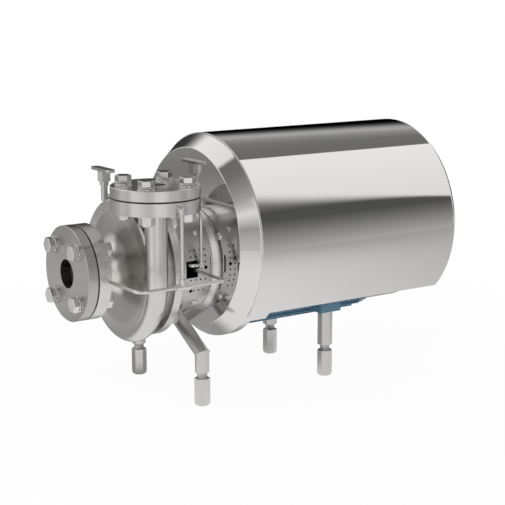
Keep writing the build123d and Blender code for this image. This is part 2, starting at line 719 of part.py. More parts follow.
# Casing cover with the seal seat
o_ring_centre_radius = cover_bore_radius - O_RING_DIAMETER / 2
o_ring_y = (cover_back_y + casing_back_y - COVER_RIM_THICKNESS) / 2
groove = O_RING_DIAMETER / 2 + O_RING_ROOM
cover_spigot_radius = cover_bore_radius - COVER_GAP
cover_wall_inner = cover_spigot_radius - COVER_WALL - O_RING_DIAMETER
seal_ring_outer = SHAFT_RADIUS + SEAL_SHAFT_GAP + SEAL_RING_WALL
seal_screw_angle = 180.0 / SEAL_SCREWS
seal_screw_depth = COVER_PLATE - SEAL_SCREW_FLOOR
with BuildPart() as casing_cover:
    with BuildSketch(Plane.XY):
        with BuildLine():
            Polyline(
                (SHAFT_RADIUS + SEAL_SHAFT_GAP, cover_front_y),
                (cover_spigot_radius, cover_front_y),
                (cover_spigot_radius, o_ring_y - groove),
                (cover_bore_radius - O_RING_DIAMETER, o_ring_y - groove),
                (cover_bore_radius - O_RING_DIAMETER, o_ring_y + groove),
                (cover_spigot_radius, o_ring_y + groove),
                (cover_spigot_radius, casing_back_y - COVER_RIM_THICKNESS),
                (COVER_RIM_RADIUS, casing_back_y - COVER_RIM_THICKNESS),
                (COVER_RIM_RADIUS, casing_back_y),
                (cover_wall_inner, casing_back_y),
                (cover_wall_inner, cover_back_y),
                (COVER_HUB_RADIUS, cover_back_y),
                (COVER_HUB_RADIUS, cover_back_y + COVER_HUB_LENGTH),
                (seal_ring_outer, cover_back_y + COVER_HUB_LENGTH),
                (seal_ring_outer, cover_front_y + SEAL_LIP),
                (SHAFT_RADIUS + SEAL_SHAFT_GAP, cover_front_y + SEAL_LIP),
                close=True,
            )
        make_face()
    revolve(axis=Axis.Y)
    with Locations(*turned_places(
        SEAL_SCREW_CENTRE_RADIUS, SEAL_SCREWS, seal_screw_angle, cover_back_y, False,
    )):
        Cylinder(
            SEAL_SCREW_DIAMETER / 2, seal_screw_depth,
            align=(Align.CENTER, Align.CENTER, Align.MAX), mode=Mode.SUBTRACT,
        )
save(casing_cover.part, "casing_cover")

with BuildPart() as casing_o_ring:
    with BuildSketch(Plane.XY):
        with Locations((o_ring_centre_radius, o_ring_y)):
            Circle(O_RING_DIAMETER / 2)
    revolve(axis=Axis.Y)
save(casing_o_ring.part, "casing_o_ring")

# Studs in the casing flange, nuts behind the lantern flange
stud_length = CASING_FLANGE_THICKNESS + LANTERN_FLANGE_THICKNESS + STUD_NUT_HEIGHT + STUD_TIP
with BuildPart() as cover_stud:
    with Locations((0, 0, -CASING_FLANGE_THICKNESS)):
        Cylinder(STUD_DIAMETER / 2, stud_length, align=(Align.CENTER, Align.CENTER, Align.MIN))
    chamfer(cover_stud.edges().sort_by(Axis.Z)[-1], EDGE_BREAK)
save(group(cover_stud.part, stud_places), "cover_studs")

stud_nut = hexagon_nut(STUD_NUT_FLATS, STUD_NUT_HEIGHT, STUD_DIAMETER)
stud_nut = stud_nut.moved(Location((0, 0, LANTERN_FLANGE_THICKNESS)))
save(group(stud_nut, stud_places), "cover_nuts")

# Impeller: hub, back shroud and backward-curved blades, trimmed to the dished front
shroud_back_y = cover_front_y - IMPELLER_BACK_GAP
shroud_front_y = shroud_back_y - IMPELLER_SHROUD
hub_front_y = shroud_front_y - IMPELLER_HUB_FRONT


def blade_point(radius, share):
    """Point of a blade's centre line: it trails the rotation as it runs outward."""
    a = math.radians(-BLADE_SWEEP * share)
    return (radius * math.cos(a), radius * math.sin(a))


def blade_face():
    """One blade's section across the shaft."""
    with BuildSketch() as face:
        with BuildLine():
            tip = IMPELLER_RADIUS - BLADE_THICKNESS / 2
            middle = (BLADE_START_RADIUS + tip) / 2
            ThreePointArc(
                blade_point(BLADE_START_RADIUS, 0),
                blade_point(middle, BLADE_MIDDLE_SWEEP),
                blade_point(tip, 1),
            )
        trace(line_width=BLADE_THICKNESS)
    return face.sketch


with BuildPart() as impeller:
    with BuildSketch(facing_front(shroud_front_y)):
        with PolarLocations(0, IMPELLER_BLADES):
            add(blade_face())
    extrude(amount=shroud_front_y - dish_start_y)
    with BuildSketch(Plane.XY):
        with BuildLine():
            Polyline(
                (0, 0),
                (chamber_radius, 0),
                (chamber_radius, inner_dish_y(CREASE_RADIUS) + BLADE_FRONT_GAP),
                (CREASE_RADIUS, inner_dish_y(CREASE_RADIUS) + BLADE_FRONT_GAP),
                (0, inner_dish_y(0) + BLADE_FRONT_GAP),
                close=True,
            )
        make_face()
    revolve(axis=Axis.Y, mode=Mode.SUBTRACT)
    with BuildSketch(Plane.XY):
        with BuildLine():
            Polyline(
                (0, hub_front_y),
                (IMPELLER_NUT_RADIUS, hub_front_y),
                (IMPELLER_HUB_RADIUS, shroud_front_y - IMPELLER_HUB_CONE),
                (IMPELLER_HUB_RADIUS + IMPELLER_HUB_FOOT, shroud_front_y),
                (IMPELLER_RADIUS, shroud_front_y),
                (IMPELLER_RADIUS, shroud_back_y),
                (0, shroud_back_y),
                close=True,
            )
        make_face()
    revolve(axis=Axis.Y)
    with BuildSketch(facing_front(shroud_back_y)):
        Circle(IMPELLER_BORE_RADIUS)
    extrude(amount=shroud_back_y, mode=Mode.SUBTRACT)
save(impeller.part, "impeller")

nut_top_y = hub_front_y - IMPELLER_NUT_LENGTH
with BuildPart() as impeller_nut:
    with BuildSketch(facing_front(hub_front_y)):
        RegularPolygon(IMPELLER_NUT_RADIUS, 6)
    extrude(amount=IMPELLER_HEXAGON_HEIGHT)
    with BuildSketch(Plane.XY):
        with BuildLine():
            axis_line = Line((0, nut_top_y), (0, hub_front_y))
            foot_line = Line(axis_line @ 1, (IMPELLER_DOME_RADIUS, hub_front_y))
            wall_line = Line(foot_line @ 1, (IMPELLER_DOME_RADIUS, nut_top_y + IMPELLER_DOME_HEIGHT))
            Spline(wall_line @ 1, axis_line @ 0, tangents=[(0, -1), (-1, 0)])
        make_face()
    revolve(axis=Axis.Y)
    with BuildSketch(facing_front(hub_front_y)):
        Circle(IMPELLER_THREAD_RADIUS)
    extrude(amount=IMPELLER_NUT_LENGTH - IMPELLER_NUT_CAP, mode=Mode.SUBTRACT)
save(impeller_nut.part, "impeller_nut")

# Pump shaft with its socket over the motor shaft
socket_end_y = socket_y + SOCKET_LENGTH
with BuildPart() as pump_shaft:
    with BuildSketch(Plane.XY):
        with BuildLine():
            Polyline(
                (0, nut_top_y + IMPELLER_NUT_CAP),
                (IMPELLER_THREAD_RADIUS, nut_top_y + IMPELLER_NUT_CAP),
                (IMPELLER_THREAD_RADIUS, hub_front_y),
                (IMPELLER_BORE_RADIUS, hub_front_y),
                (IMPELLER_BORE_RADIUS, shroud_back_y),
                (SHAFT_RADIUS, shroud_back_y),
                (SHAFT_RADIUS, collar_y),
                (COLLAR_RADIUS, collar_y),
                (COLLAR_RADIUS, socket_y - SOCKET_TAPER),
                (SOCKET_RADIUS, socket_y),
                (SOCKET_RADIUS, socket_end_y),
                (MOTOR_SHAFT_RADIUS, socket_end_y),
                (MOTOR_SHAFT_RADIUS, motor_shaft_tip_y),
                (0, motor_shaft_tip_y),
                close=True,
            )
        make_face()
    revolve(axis=Axis.Y)
save(pump_shaft.part, "pump_shaft")

clamp_y = socket_end_y - CLAMP_LENGTH - CLAMP_SETBACK
with BuildPart() as shaft_clamp:
    with BuildSketch(facing_front(clamp_y)):
        Circle(CLAMP_RADIUS)
        Circle(SOCKET_RADIUS, mode=Mode.SUBTRACT)
    extrude(amount=-CLAMP_LENGTH)
    chamfer(shaft_clamp.edges().filter_by(GeomType.CIRCLE).sort_by(SortBy.RADIUS)[-2:], CLAMP_EDGE)
    with Locations(*turned_places(CLAMP_SCREW_CENTRE_RADIUS, CLAMP_SCREWS, 0, clamp_y)):
        Cylinder(
            CLAMP_SCREW_HOLE / 2, CLAMP_SCREW_DEPTH,
            align=(Align.CENTER, Align.CENTER, Align.MAX), mode=Mode.SUBTRACT,
        )
save(shaft_clamp.part, "shaft_clamp")

# Mechanical seal
save(
    ring(seal_ring_outer, SHAFT_RADIUS + SEAL_SHAFT_GAP, cover_front_y + SEAL_LIP, SEAL_RING_LENGTH),
    "seal_fixed_ring",
)
save(
    ring(
        seal_ring_outer - SEAL_RING_SETBACK, SHAFT_RADIUS, seal_face_y + SEAL_FILM,
        SEAL_RING_LENGTH - SEAL_FILM,
    ),
    "seal_rotating_ring",
)

spring_radius = SHAFT_RADIUS + SEAL_SPRING_GAP + SEAL_SPRING_WIRE
spring_rise = SEAL_SPRING_LENGTH - SEAL_SPRING_WIRE
with BuildPart() as seal_spring:
    with BuildLine() as coil:
        Helix(
            pitch=spring_rise / SEAL_SPRING_TURNS, height=spring_rise, radius=spring_radius,
            center=(0, collar_y - SEAL_SPRING_WIRE / 2, 0), direction=(0, -1, 0),
        )
    with BuildSketch(Plane(origin=coil.line @ 0, z_dir=coil.line % 0)):
        Circle(SEAL_SPRING_WIRE / 2)
    sweep()
save(seal_spring.part, "seal_spring")

seal_cover_back_y = collar_y + COLLAR_LENGTH - SEAL_COVER_SETBACK
seal_screw_places = turned_places(
    SEAL_SCREW_CENTRE_RADIUS, SEAL_SCREWS, seal_screw_angle, cover_back_y + SEAL_COVER_FLANGE, False,
)
with BuildPart() as seal_cover:
    with BuildSketch(Plane.XY):
        with BuildLine():
            Polyline(
                (COVER_HUB_RADIUS, cover_back_y),
                (SEAL_COVER_RADIUS, cover_back_y),
                (SEAL_COVER_RADIUS, cover_back_y + SEAL_COVER_FLANGE),
                (SEAL_COVER_TUBE, cover_back_y + SEAL_COVER_FLANGE),
                (SEAL_COVER_TUBE, seal_cover_back_y),
                (COLLAR_RADIUS + RUNNING_GAP, seal_cover_back_y),
                (COLLAR_RADIUS + RUNNING_GAP, seal_cover_back_y - SEAL_COVER_LIP),
                (COVER_HUB_RADIUS, seal_cover_back_y - SEAL_COVER_LIP),
                close=True,
            )
        make_face()
    revolve(axis=Axis.Y)
    with Locations(*seal_screw_places):
        Cylinder(
            SEAL_SCREW_DIAMETER / 2 + BOLT_CLEARANCE, SEAL_COVER_FLANGE,
            align=(Align.CENTER, Align.CENTER, Align.MAX), mode=Mode.SUBTRACT,
        )
save(seal_cover.part, "seal_cover")

seal_screw = hexagon_screw(
    SEAL_SCREW_FLATS, SEAL_SCREW_HEAD, SEAL_SCREW_DIAMETER, SEAL_COVER_FLANGE + seal_screw_depth,
)
save(group(seal_screw, seal_screw_places), "seal_cover_screws")

# Lantern: flange, open cylinder and rear ring
plate_y = motor_face_y - HOOD_SHEET
window_front_y = lantern_flange_back_y + WINDOW_MARGIN
window_back_y = lantern_ring_y - WINDOW_REAR_MARGIN
lantern_bolt_angle = 180.0 / LANTERN_BOLT_COUNT
lantern_bolt_places = turned_places(
    LANTERN_BOLT_CENTRE_RADIUS, LANTERN_BOLT_COUNT, lantern_bolt_angle, lantern_ring_y,
)
with BuildPart() as lantern:
    with BuildSketch(Plane.XY):
        with BuildLine():
            Polyline(
                (LANTERN_RADIUS - LANTERN_WALL, casing_back_y),
                (CASING_FLANGE_RADIUS, casing_back_y),
                (CASING_FLANGE_RADIUS, lantern_flange_back_y),
                (LANTERN_RADIUS, lantern_flange_back_y),
                (LANTERN_RADIUS, lantern_ring_y),
                (LANTERN_RING_RADIUS - LANTERN_RING_TAPER, lantern_ring_y),
                (LANTERN_RING_RADIUS, plate_y - RING_EDGE),
                (LANTERN_RING_RADIUS, plate_y),
                (SPIGOT_RADIUS, plate_y),
                (SPIGOT_RADIUS, lantern_ring_y),
                (LANTERN_RADIUS - LANTERN_WALL, lantern_ring_y),
                close=True,
            )
        make_face()
    revolve(axis=Axis.Y)
    with BuildSketch(Plane.YZ):
        with Locations(((window_front_y + window_back_y) / 2, (WINDOW_TOP + WINDOW_BOTTOM) / 2)):
            RectangleRounded(window_back_y - window_front_y, WINDOW_TOP - WINDOW_BOTTOM, WINDOW_ROUNDING)
    extrude(amount=CASING_FLANGE_RADIUS, both=True, mode=Mode.SUBTRACT)
    with Locations(*stud_places):
        Cylinder(
            STUD_DIAMETER / 2 + BOLT_CLEARANCE, LANTERN_FLANGE_THICKNESS,
            align=(Align.CENTER, Align.CENTER, Align.MIN), mode=Mode.SUBTRACT,
        )
    with Locations(*lantern_bolt_places):
        Cylinder(
            LANTERN_BOLT_DIAMETER / 2 + BOLT_CLEARANCE, LANTERN_RING_LENGTH,
            align=(Align.CENTER, Align.CENTER, Align.MAX), mode=Mode.SUBTRACT,
        )
    add(nut_pocket.part, mode=Mode.SUBTRACT)
    with BuildSketch(discharge_plane.offset(discharge_flange_z - NUT_POCKET_GAP)):
        Circle(DISCHARGE_FLANGE_DIAMETER / 2 + NUT_POCKET_GAP)
    extrude(amount=DISCHARGE_FLANGE_THICKNESS, mode=Mode.SUBTRACT)
save(lantern.part, "lantern")

with BuildPart() as lantern_bolt:
    with BuildSketch():
        Circle(LANTERN_BOLT_HEAD_DIAMETER / 2)
    extrude(amount=LANTERN_BOLT_HEAD)
    with BuildSketch(Plane.XY.offset(LANTERN_BOLT_HEAD)):
        RegularPolygon(LANTERN_BOLT_SOCKET / 2, 6, major_radius=False)
    extrude(amount=-LANTERN_BOLT_HEAD / 2, mode=Mode.SUBTRACT)
    with BuildSketch():
        Circle(LANTERN_BOLT_DIAMETER / 2)
    extrude(amount=-(LANTERN_RING_LENGTH + HOOD_SHEET + LANTERN_BOLT_DEPTH))
save(group(lantern_bolt.part, lantern_bolt_places), "lantern_bolts")

# Guards: curved perforated sheets with a pipe cut-out and a slot at the rear edge
guard_front_y = lantern_flange_back_y + GUARD_FRONT_GAP
guard_back_y = lantern_ring_y - GUARD_REAR_GAP
guard_outer = LANTERN_RADIUS + GUARD_THICKNESS


def guard_height(angle):
    """Height of a point of the guard at an angle around the shaft."""
    return guard_outer * math.sin(math.radians(angle))


def guard_place(column, row):
    """Station and height of a hole in the pattern of a guard."""
    return (GUARD_COLUMN_Y + GUARD_COLUMN_PITCH * column, GUARD_ROW_TOP - GUARD_ROW_PITCH * row)


large_places = [guard_place(column, row) for column, row in GUARD_LARGE_HOLES]
nearest_hole = (GUARD_LARGE_HOLE + GUARD_HOLE) / 2
small_places = []
for row in range(GUARD_ROWS):
    for column in range(GUARD_COLUMNS):
        station, height = guard_place(column, row)
        beside_cut = GUARD_CUT_BOTTOM - GUARD_HOLE_MARGIN < height < GUARD_CUT_TOP + GUARD_HOLE_MARGIN
        if beside_cut and station < GUARD_CUT_REAR + GUARD_HOLE_MARGIN:
            continue
        if all(math.dist((station, height), place) > nearest_hole for place in large_places):
            small_places.append((station, height))

with BuildPart() as guard_near:
    with BuildSketch(facing_front(guard_front_y)):
        Circle(guard_outer)
        Circle(LANTERN_RADIUS, mode=Mode.SUBTRACT)
    extrude(amount=-(guard_back_y - guard_front_y))
    with BuildSketch(Plane.YZ) as guard_outline:
        with BuildLine():
            Polyline(
                (guard_front_y, guard_height(GUARD_TOP_ANGLE)),
                (guard_back_y, guard_height(GUARD_TOP_ANGLE)),
                (guard_back_y, GUARD_LOW_REAR),
                (guard_front_y, GUARD_LOW_FRONT),
                close=True,
            )
        make_face()
        rear_corner = guard_outline.vertices().sort_by_distance((guard_back_y, GUARD_LOW_REAR))[0]
        fillet(rear_corner, GUARD_CORNER_ROUNDING)
        with Locations((GUARD_SCREW_Y, guard_height(GUARD_SCREW_ANGLES[1]))):
            Circle(GUARD_TAB_RADIUS)
    extrude(amount=guard_outer, mode=Mode.INTERSECT)
    with BuildSketch(Plane.YZ):
        with Locations(((GUARD_CUT_FRONT + GUARD_CUT_REAR) / 2, (GUARD_CUT_TOP + GUARD_CUT_BOTTOM) / 2)):
            Rectangle(GUARD_CUT_REAR - GUARD_CUT_FRONT, GUARD_CUT_TOP - GUARD_CUT_BOTTOM)
        with Locations((guard_back_y, (GUARD_SLOT_TOP + GUARD_SLOT_BOTTOM) / 2)):
            Rectangle(2 * GUARD_SLOT_WIDTH, GUARD_SLOT_TOP - GUARD_SLOT_BOTTOM)
        with Locations(*small_places):
            Circle(GUARD_HOLE / 2)
        with Locations(*large_places):
            Circle(GUARD_LARGE_HOLE / 2)
    extrude(amount=guard_outer, mode=Mode.SUBTRACT)
save(guard_near.part, "guard_near")

guard_far = mirror(guard_near.part, about=Plane.YZ)
save(guard_far, "guard_far")


def socket_screw_head(diameter, height):
    """Low round screw head on the local origin, with a hexagon socket."""
    with BuildPart() as head:
        with BuildSketch():
            Circle(diameter / 2)
        extrude(amount=height)
        chamfer(head.edges().sort_by(Axis.Z)[-1], EDGE_BREAK)
        with BuildSketch(Plane.XY.offset(height)):
            RegularPolygon(SOCKET_FLATS / 2, 6, major_radius=False)
        extrude(amount=-SOCKET_DEPTH, mode=Mode.SUBTRACT)
    return head.part


guard_screw_places = []
for side in (1, -1):
    for angle in GUARD_SCREW_ANGLES:
        a = math.radians(angle)
        direction = (side * math.cos(a), 0, math.sin(a))
        origin = tuple(guard_outer * value for value in direction)
        origin = (origin[0], GUARD_SCREW_Y, origin[2])
        guard_screw_places.append(Plane(origin=origin, x_dir=(0, 1, 0), z_dir=direction).location)
save(group(socket_screw_head(GUARD_SCREW_DIAMETER, GUARD_SCREW_HEAD), guard_screw_places), "guard_screws")

# Hood: front cap
hood_plane = Plane(origin=(0, 0, HOOD_CENTRE_HEIGHT), x_dir=(1, 0, 0), z_dir=(0, 0, 1))
hood_axis = Axis((0, 0, HOOD_CENTRE_HEIGHT), (0, 1, 0))
cap_radius = HOOD_RADIUS - HOOD_SHEET - HOOD_SEAT_GAP
cone_end_y = plate_y + HOOD_CONE_LENGTH
plate_radius = HOOD_RADIUS - HOOD_CONE_DEPTH
cone_slope = math.atan2(cap_radius - plate_radius, HOOD_CONE_LENGTH)
inner_plate_radius = plate_radius - HOOD_SHEET * math.tan((math.pi / 2 - cone_slope) / 2)
inner_cone_y = cone_end_y + HOOD_SHEET * math.tan(cone_slope / 2)
with BuildPart() as hood_front:
    with BuildSketch(hood_plane) as cap_profile:
        with BuildLine():
            Polyline(
                (0, plate_y),
                (plate_radius, plate_y),
                (cap_radius, cone_end_y),
                (cap_radius, plate_y + HOOD_CAP_SKIRT),
                (cap_radius - HOOD_SHEET, plate_y + HOOD_CAP_SKIRT),
                (cap_radius - HOOD_SHEET, inner_cone_y),
                (inner_plate_radius, plate_y + HOOD_SHEET),
                (0, plate_y + HOOD_SHEET),
                close=True,
            )
        make_face()
        for corner_point, rounding in (
            ((plate_radius, plate_y), HOOD_PLATE_ROUNDING),
            ((cap_radius, cone_end_y), HOOD_CONE_ROUNDING),
            ((cap_radius - HOOD_SHEET, inner_cone_y), HOOD_CONE_ROUNDING - HOOD_SHEET),
            ((inner_plate_radius, plate_y + HOOD_SHEET), HOOD_PLATE_ROUNDING - HOOD_SHEET),
        ):
            fillet(cap_profile.vertices().sort_by_distance(corner_point)[0], rounding)
    revolve(axis=hood_axis)
    skirt_y = plate_y + HOOD_CAP_FULL
    with BuildSketch(Plane.XY.offset(HOOD_SKIRT_CUT)):
        with Locations((0, (skirt_y + plate_y + HOOD_CAP_SKIRT) / 2)):
            Rectangle(2 * HOOD_RADIUS, HOOD_CAP_SKIRT - HOOD_CAP_FULL)
    extrude(amount=-HOOD_RADIUS, mode=Mode.SUBTRACT)
    with BuildSketch(facing_front(plate_y)):
        Circle(SPIGOT_RADIUS + COVER_GAP)
        with PolarLocations(LANTERN_BOLT_CENTRE_RADIUS, LANTERN_BOLT_COUNT, start_angle=lantern_bolt_angle):
            Circle(LANTERN_BOLT_DIAMETER / 2 + BOLT_CLEARANCE)
    extrude(amount=-HOOD_SHEET, mode=Mode.SUBTRACT)
    for side in (1, -1):
        a = math.radians(SKIRT_HOLE_ANGLE)
        outward = (side * math.cos(a), 0, math.sin(a))
        hole_centre = (0, plate_y + SKIRT_HOLE_SETBACK, HOOD_CENTRE_HEIGHT)
        with BuildSketch(Plane(origin=hole_centre, z_dir=outward)):
            Circle(SKIRT_HOLE_DIAMETER / 2)
        extrude(amount=HOOD_RADIUS, mode=Mode.SUBTRACT)
save(hood_front.part, "hood_front")

# Hood: outer shell, open below and at the rear
shell_front_y = cone_end_y + HOOD_SHELL_SETBACK
shell_back_y = shell_front_y + HOOD_SHELL_LENGTH
with BuildPart() as hood_shell:
    with BuildSketch(hood_plane) as shell_profile:
        with BuildLine():
            Polyline(
                (HOOD_RADIUS, shell_front_y),
                (HOOD_RADIUS, shell_back_y),
                (HOOD_RADIUS - HOOD_LIP, shell_back_y),
                (HOOD_RADIUS - HOOD_LIP, shell_back_y - HOOD_SHEET),
                (HOOD_RADIUS - HOOD_SHEET, shell_back_y - HOOD_SHEET),
                (HOOD_RADIUS - HOOD_SHEET, shell_front_y),
                close=True,
            )
        make_face()
        fillet(shell_profile.vertices().sort_by_distance((HOOD_RADIUS, shell_back_y))[0], HOOD_LIP_ROUNDING)
    revolve(axis=hood_axis)
    with BuildSketch(Plane.XY.offset(HOOD_SHELL_CUT)):
        with Locations((0, (shell_front_y + shell_back_y) / 2)):
            Rectangle(3 * HOOD_RADIUS, 2 * HOOD_SHELL_LENGTH)
    extrude(amount=-HOOD_RADIUS, mode=Mode.SUBTRACT)
save(hood_shell.part, "hood_shell")

# Screws through the plate of the hood
plate_screw_places = []
for angle in PLATE_SCREW_ANGLES:
    plate_screw_places += turned_places(PLATE_SCREW_CENTRE_RADIUS, 1, angle, plate_y)
save(group(socket_screw_head(HOOD_SCREW_HEAD_DIAMETER, HOOD_SCREW_HEAD), plate_screw_places), "hood_screws")

# Motor: front shield with flange and bearing seat
shield_bore_radius = BEARING_BORE_RADIUS + SHIELD_BORE_GAP
with BuildPart() as motor_front_shield:
    with BuildSketch(Plane.XY):
        with BuildLine():
            Polyline(
                (shield_bore_radius, motor_face_y),
                (SPIGOT_RADIUS - SPIGOT_WALL, motor_face_y),
                (SPIGOT_RADIUS - SPIGOT_WALL, motor_face_y - SPIGOT_LENGTH),
                (SPIGOT_RADIUS - SPIGOT_FIT, motor_face_y - SPIGOT_LENGTH),
                (SPIGOT_RADIUS - SPIGOT_FIT, motor_face_y),
                (motor_flange_radius, motor_face_y),
                (motor_flange_radius, front_bearing_y),
                (shield_radius, front_bearing_y + SHIELD_CONE),
                (shield_radius, housing_y),
                (motor_bore_radius, housing_y),
                (motor_bore_radius, front_bearing_y + SHIELD_WALL),
                (BEARING_RADIUS + SHIELD_WALL, front_bearing_y + SHIELD_WALL),
                (BEARING_RADIUS + SHIELD_WALL, front_bearing_y + BEARING_WIDTH),
                (BEARING_RADIUS, front_bearing_y + BEARING_WIDTH),
                (BEARING_RADIUS, front_bearing_y),
                (shield_bore_radius, front_bearing_y),
                close=True,
            )
        make_face()
    revolve(axis=Axis.Y)
    with Locations(*turned_places(
        LANTERN_BOLT_CENTRE_RADIUS, LANTERN_BOLT_COUNT, lantern_bolt_angle, motor_face_y,
    )):
        Cylinder(
            LANTERN_BOLT_DIAMETER / 2, LANTERN_BOLT_DEPTH,
            align=(Align.CENTER, Align.CENTER, Align.MAX), mode=Mode.SUBTRACT,
        )
save(motor_front_shield.part, "motor_front_shield")

# Motor housing with its fins, the bosses for the rear legs and the pad for the terminal box
box_y = housing_y + BOX_REACH + BOX_LENGTH / 2
with BuildPart() as motor_housing:
    with BuildSketch(facing_front(housing_y)):
        Circle(motor_core_radius)
        with PolarLocations((motor_fin_radius + motor_core_radius) / 2 - FIN_ROOT, MOTOR_FINS):
            Rectangle(FIN_HEIGHT + 2 * FIN_ROOT, FIN_THICKNESS)
        Circle(motor_bore_radius, mode=Mode.SUBTRACT)
    extrude(amount=-HOUSING_LENGTH)
    with BuildSketch(Plane.XY.offset(leg_boss_bottom)):
        with Locations((REAR_FOOT_X, rear_leg_y), (-REAR_FOOT_X, rear_leg_y)):
            Rectangle(LEG_BOSS_WIDTH, LEG_BOSS_LENGTH)
    extrude(amount=LEG_BOSS_TOP - leg_boss_bottom)
    with BuildSketch(Plane.XY.offset(motor_core_radius - BOX_PAD_DEPTH)):
        with Locations((0, box_y)):
            Rectangle(BOX_WIDTH, BOX_LENGTH)
    extrude(amount=FIN_HEIGHT + BOX_PAD_DEPTH)
    with BuildSketch(facing_front(housing_y)):
        Circle(motor_bore_radius)
    extrude(amount=-HOUSING_LENGTH, mode=Mode.SUBTRACT)
save(motor_housing.part, "motor_housing")

with BuildPart() as motor_rear_shield:
    with BuildSketch(Plane.XY):
        with BuildLine():
            Polyline(
                (shield_bore_radius, rear_shield_back_y),
                (cowl_radius - COWL_SHEET, rear_shield_back_y),
                (cowl_radius - COWL_SHEET, cowl_y - COWL_SHOULDER),
                (shield_radius, housing_back_y + SHIELD_CONE),
                (shield_radius, housing_back_y),
                (motor_bore_radius, housing_back_y),
                (motor_bore_radius, rear_shield_back_y - SHIELD_WALL),
                (BEARING_RADIUS + SHIELD_WALL, rear_shield_back_y - SHIELD_WALL),
                (BEARING_RADIUS + SHIELD_WALL, rear_bearing_y),
                (BEARING_RADIUS, rear_bearing_y),
                (BEARING_RADIUS, rear_bearing_y + BEARING_WIDTH),
                (shield_bore_radius, rear_bearing_y + BEARING_WIDTH),
                close=True,
            )
        make_face()
    revolve(axis=Axis.Y)
save(motor_rear_shield.part, "motor_rear_shield")

# Terminal box, lid and gland
box_bottom = motor_fin_radius
gland_neck_radius = CABLE_GLAND_BORE / 2 + CABLE_GLAND_WALL
with BuildPart() as terminal_box:
    with BuildSketch(Plane.XY.offset(box_bottom)):
        with Locations((0, box_y)):
            RectangleRounded(BOX_WIDTH, BOX_LENGTH, BOX_ROUNDING)
    extrude(amount=BOX_HEIGHT)
    with BuildSketch(Plane.XY.offset(box_bottom + BOX_WALL)):
        with Locations((0, box_y)):
            RectangleRounded(BOX_WIDTH - 2 * BOX_WALL, BOX_LENGTH - 2 * BOX_WALL, BOX_ROUNDING - BOX_WALL)
    extrude(amount=BOX_HEIGHT, mode=Mode.SUBTRACT)
    gland_plane = Plane(
        origin=(0, box_y + BOX_LENGTH / 2, box_bottom + BOX_HEIGHT / 2), x_dir=(1, 0, 0), z_dir=(0, 1, 0),
    )
    with BuildSketch(gland_plane):
        Circle(gland_neck_radius)
    extrude(amount=-BOX_WALL, mode=Mode.SUBTRACT)
save(terminal_box.part, "terminal_box")

with BuildPart() as terminal_lid:
    with BuildSketch(Plane.XY.offset(box_bottom + BOX_HEIGHT)):
        with Locations((0, box_y)):
            RectangleRounded(BOX_WIDTH, BOX_LENGTH, BOX_ROUNDING)
    extrude(amount=LID_THICKNESS)
    fillet(terminal_lid.faces().sort_by(Axis.Z)[-1].edges(), LID_ROUNDING)
save(terminal_lid.part, "terminal_lid")

with BuildPart() as cable_gland:
    with BuildSketch(gland_plane.offset(-BOX_WALL)):
        Circle(gland_neck_radius)
    extrude(amount=BOX_WALL)
    with BuildSketch(gland_plane):
        RegularPolygon(CABLE_GLAND_FLATS / 2, 6, major_radius=False)
    extrude(amount=CABLE_GLAND_HEXAGON)
    with BuildSketch(gland_plane.offset(CABLE_GLAND_HEXAGON)):
        Circle(CABLE_GLAND_FLATS / 2 - CABLE_GLAND_STEP)
    extrude(amount=CABLE_GLAND_CAP, taper=CABLE_GLAND_TAPER_ANGLE)
    with BuildSketch(gland_plane.offset(-BOX_WALL)):
        Circle(CABLE_GLAND_BORE / 2)
    extrude(amount=BOX_WALL + CABLE_GLAND_HEXAGON + CABLE_GLAND_CAP, mode=Mode.SUBTRACT)
save(cable_gland.part, "cable_gland")

# Stator, windings and rotor
stator_y = housing_y + (HOUSING_LENGTH - STATOR_LENGTH) / 2
stator_inner = ROTOR_RADIUS + AIR_GAP
save(ring(motor_bore_radius, stator_inner, stator_y, STATOR_LENGTH), "stator_core")
with BuildPart() as stator_windings:
    for start in (stator_y - WINDING_LENGTH, stator_y + STATOR_LENGTH):
        with BuildSketch(facing_front(start)):
            Circle(motor_core_radius - WINDING_SETBACK)
            Circle(WINDING_INNER, mode=Mode.SUBTRACT)
        extrude(amount=-WINDING_LENGTH)
save(stator_windings.part, "stator_windings")
save(ring(ROTOR_RADIUS, rotor_bore_radius, stator_y, STATOR_LENGTH), "rotor")

fan_y = rear_shield_back_y + FAN_GAP
with BuildPart() as motor_shaft:
    with BuildSketch(Plane.XY):
        with BuildLine():
            Polyline(
                (0, motor_shaft_tip_y),
                (MOTOR_SHAFT_RADIUS, motor_shaft_tip_y),
                (MOTOR_SHAFT_RADIUS, motor_face_y),
                (shaft_seat_radius, motor_face_y + SHAFT_TAPER),
                (shaft_seat_radius, front_bearing_y + BEARING_WIDTH + SHAFT_SHOULDER_GAP),
                (rotor_bore_radius, front_bearing_y + BEARING_WIDTH + SHAFT_SHOULDER_GAP),
                (rotor_bore_radius, rear_bearing_y - SHAFT_SHOULDER_GAP),
                (shaft_seat_radius, rear_bearing_y - SHAFT_SHOULDER_GAP),
                (shaft_seat_radius, rear_shield_back_y + FAN_SEAT_STEP),
                (fan_seat_radius, rear_shield_back_y + FAN_SEAT_STEP),
                (fan_seat_radius, fan_y + FAN_LENGTH),
                (0, fan_y + FAN_LENGTH),
                close=True,
            )
        make_face()
    revolve(axis=Axis.Y)
save(motor_shaft.part, "motor_shaft")


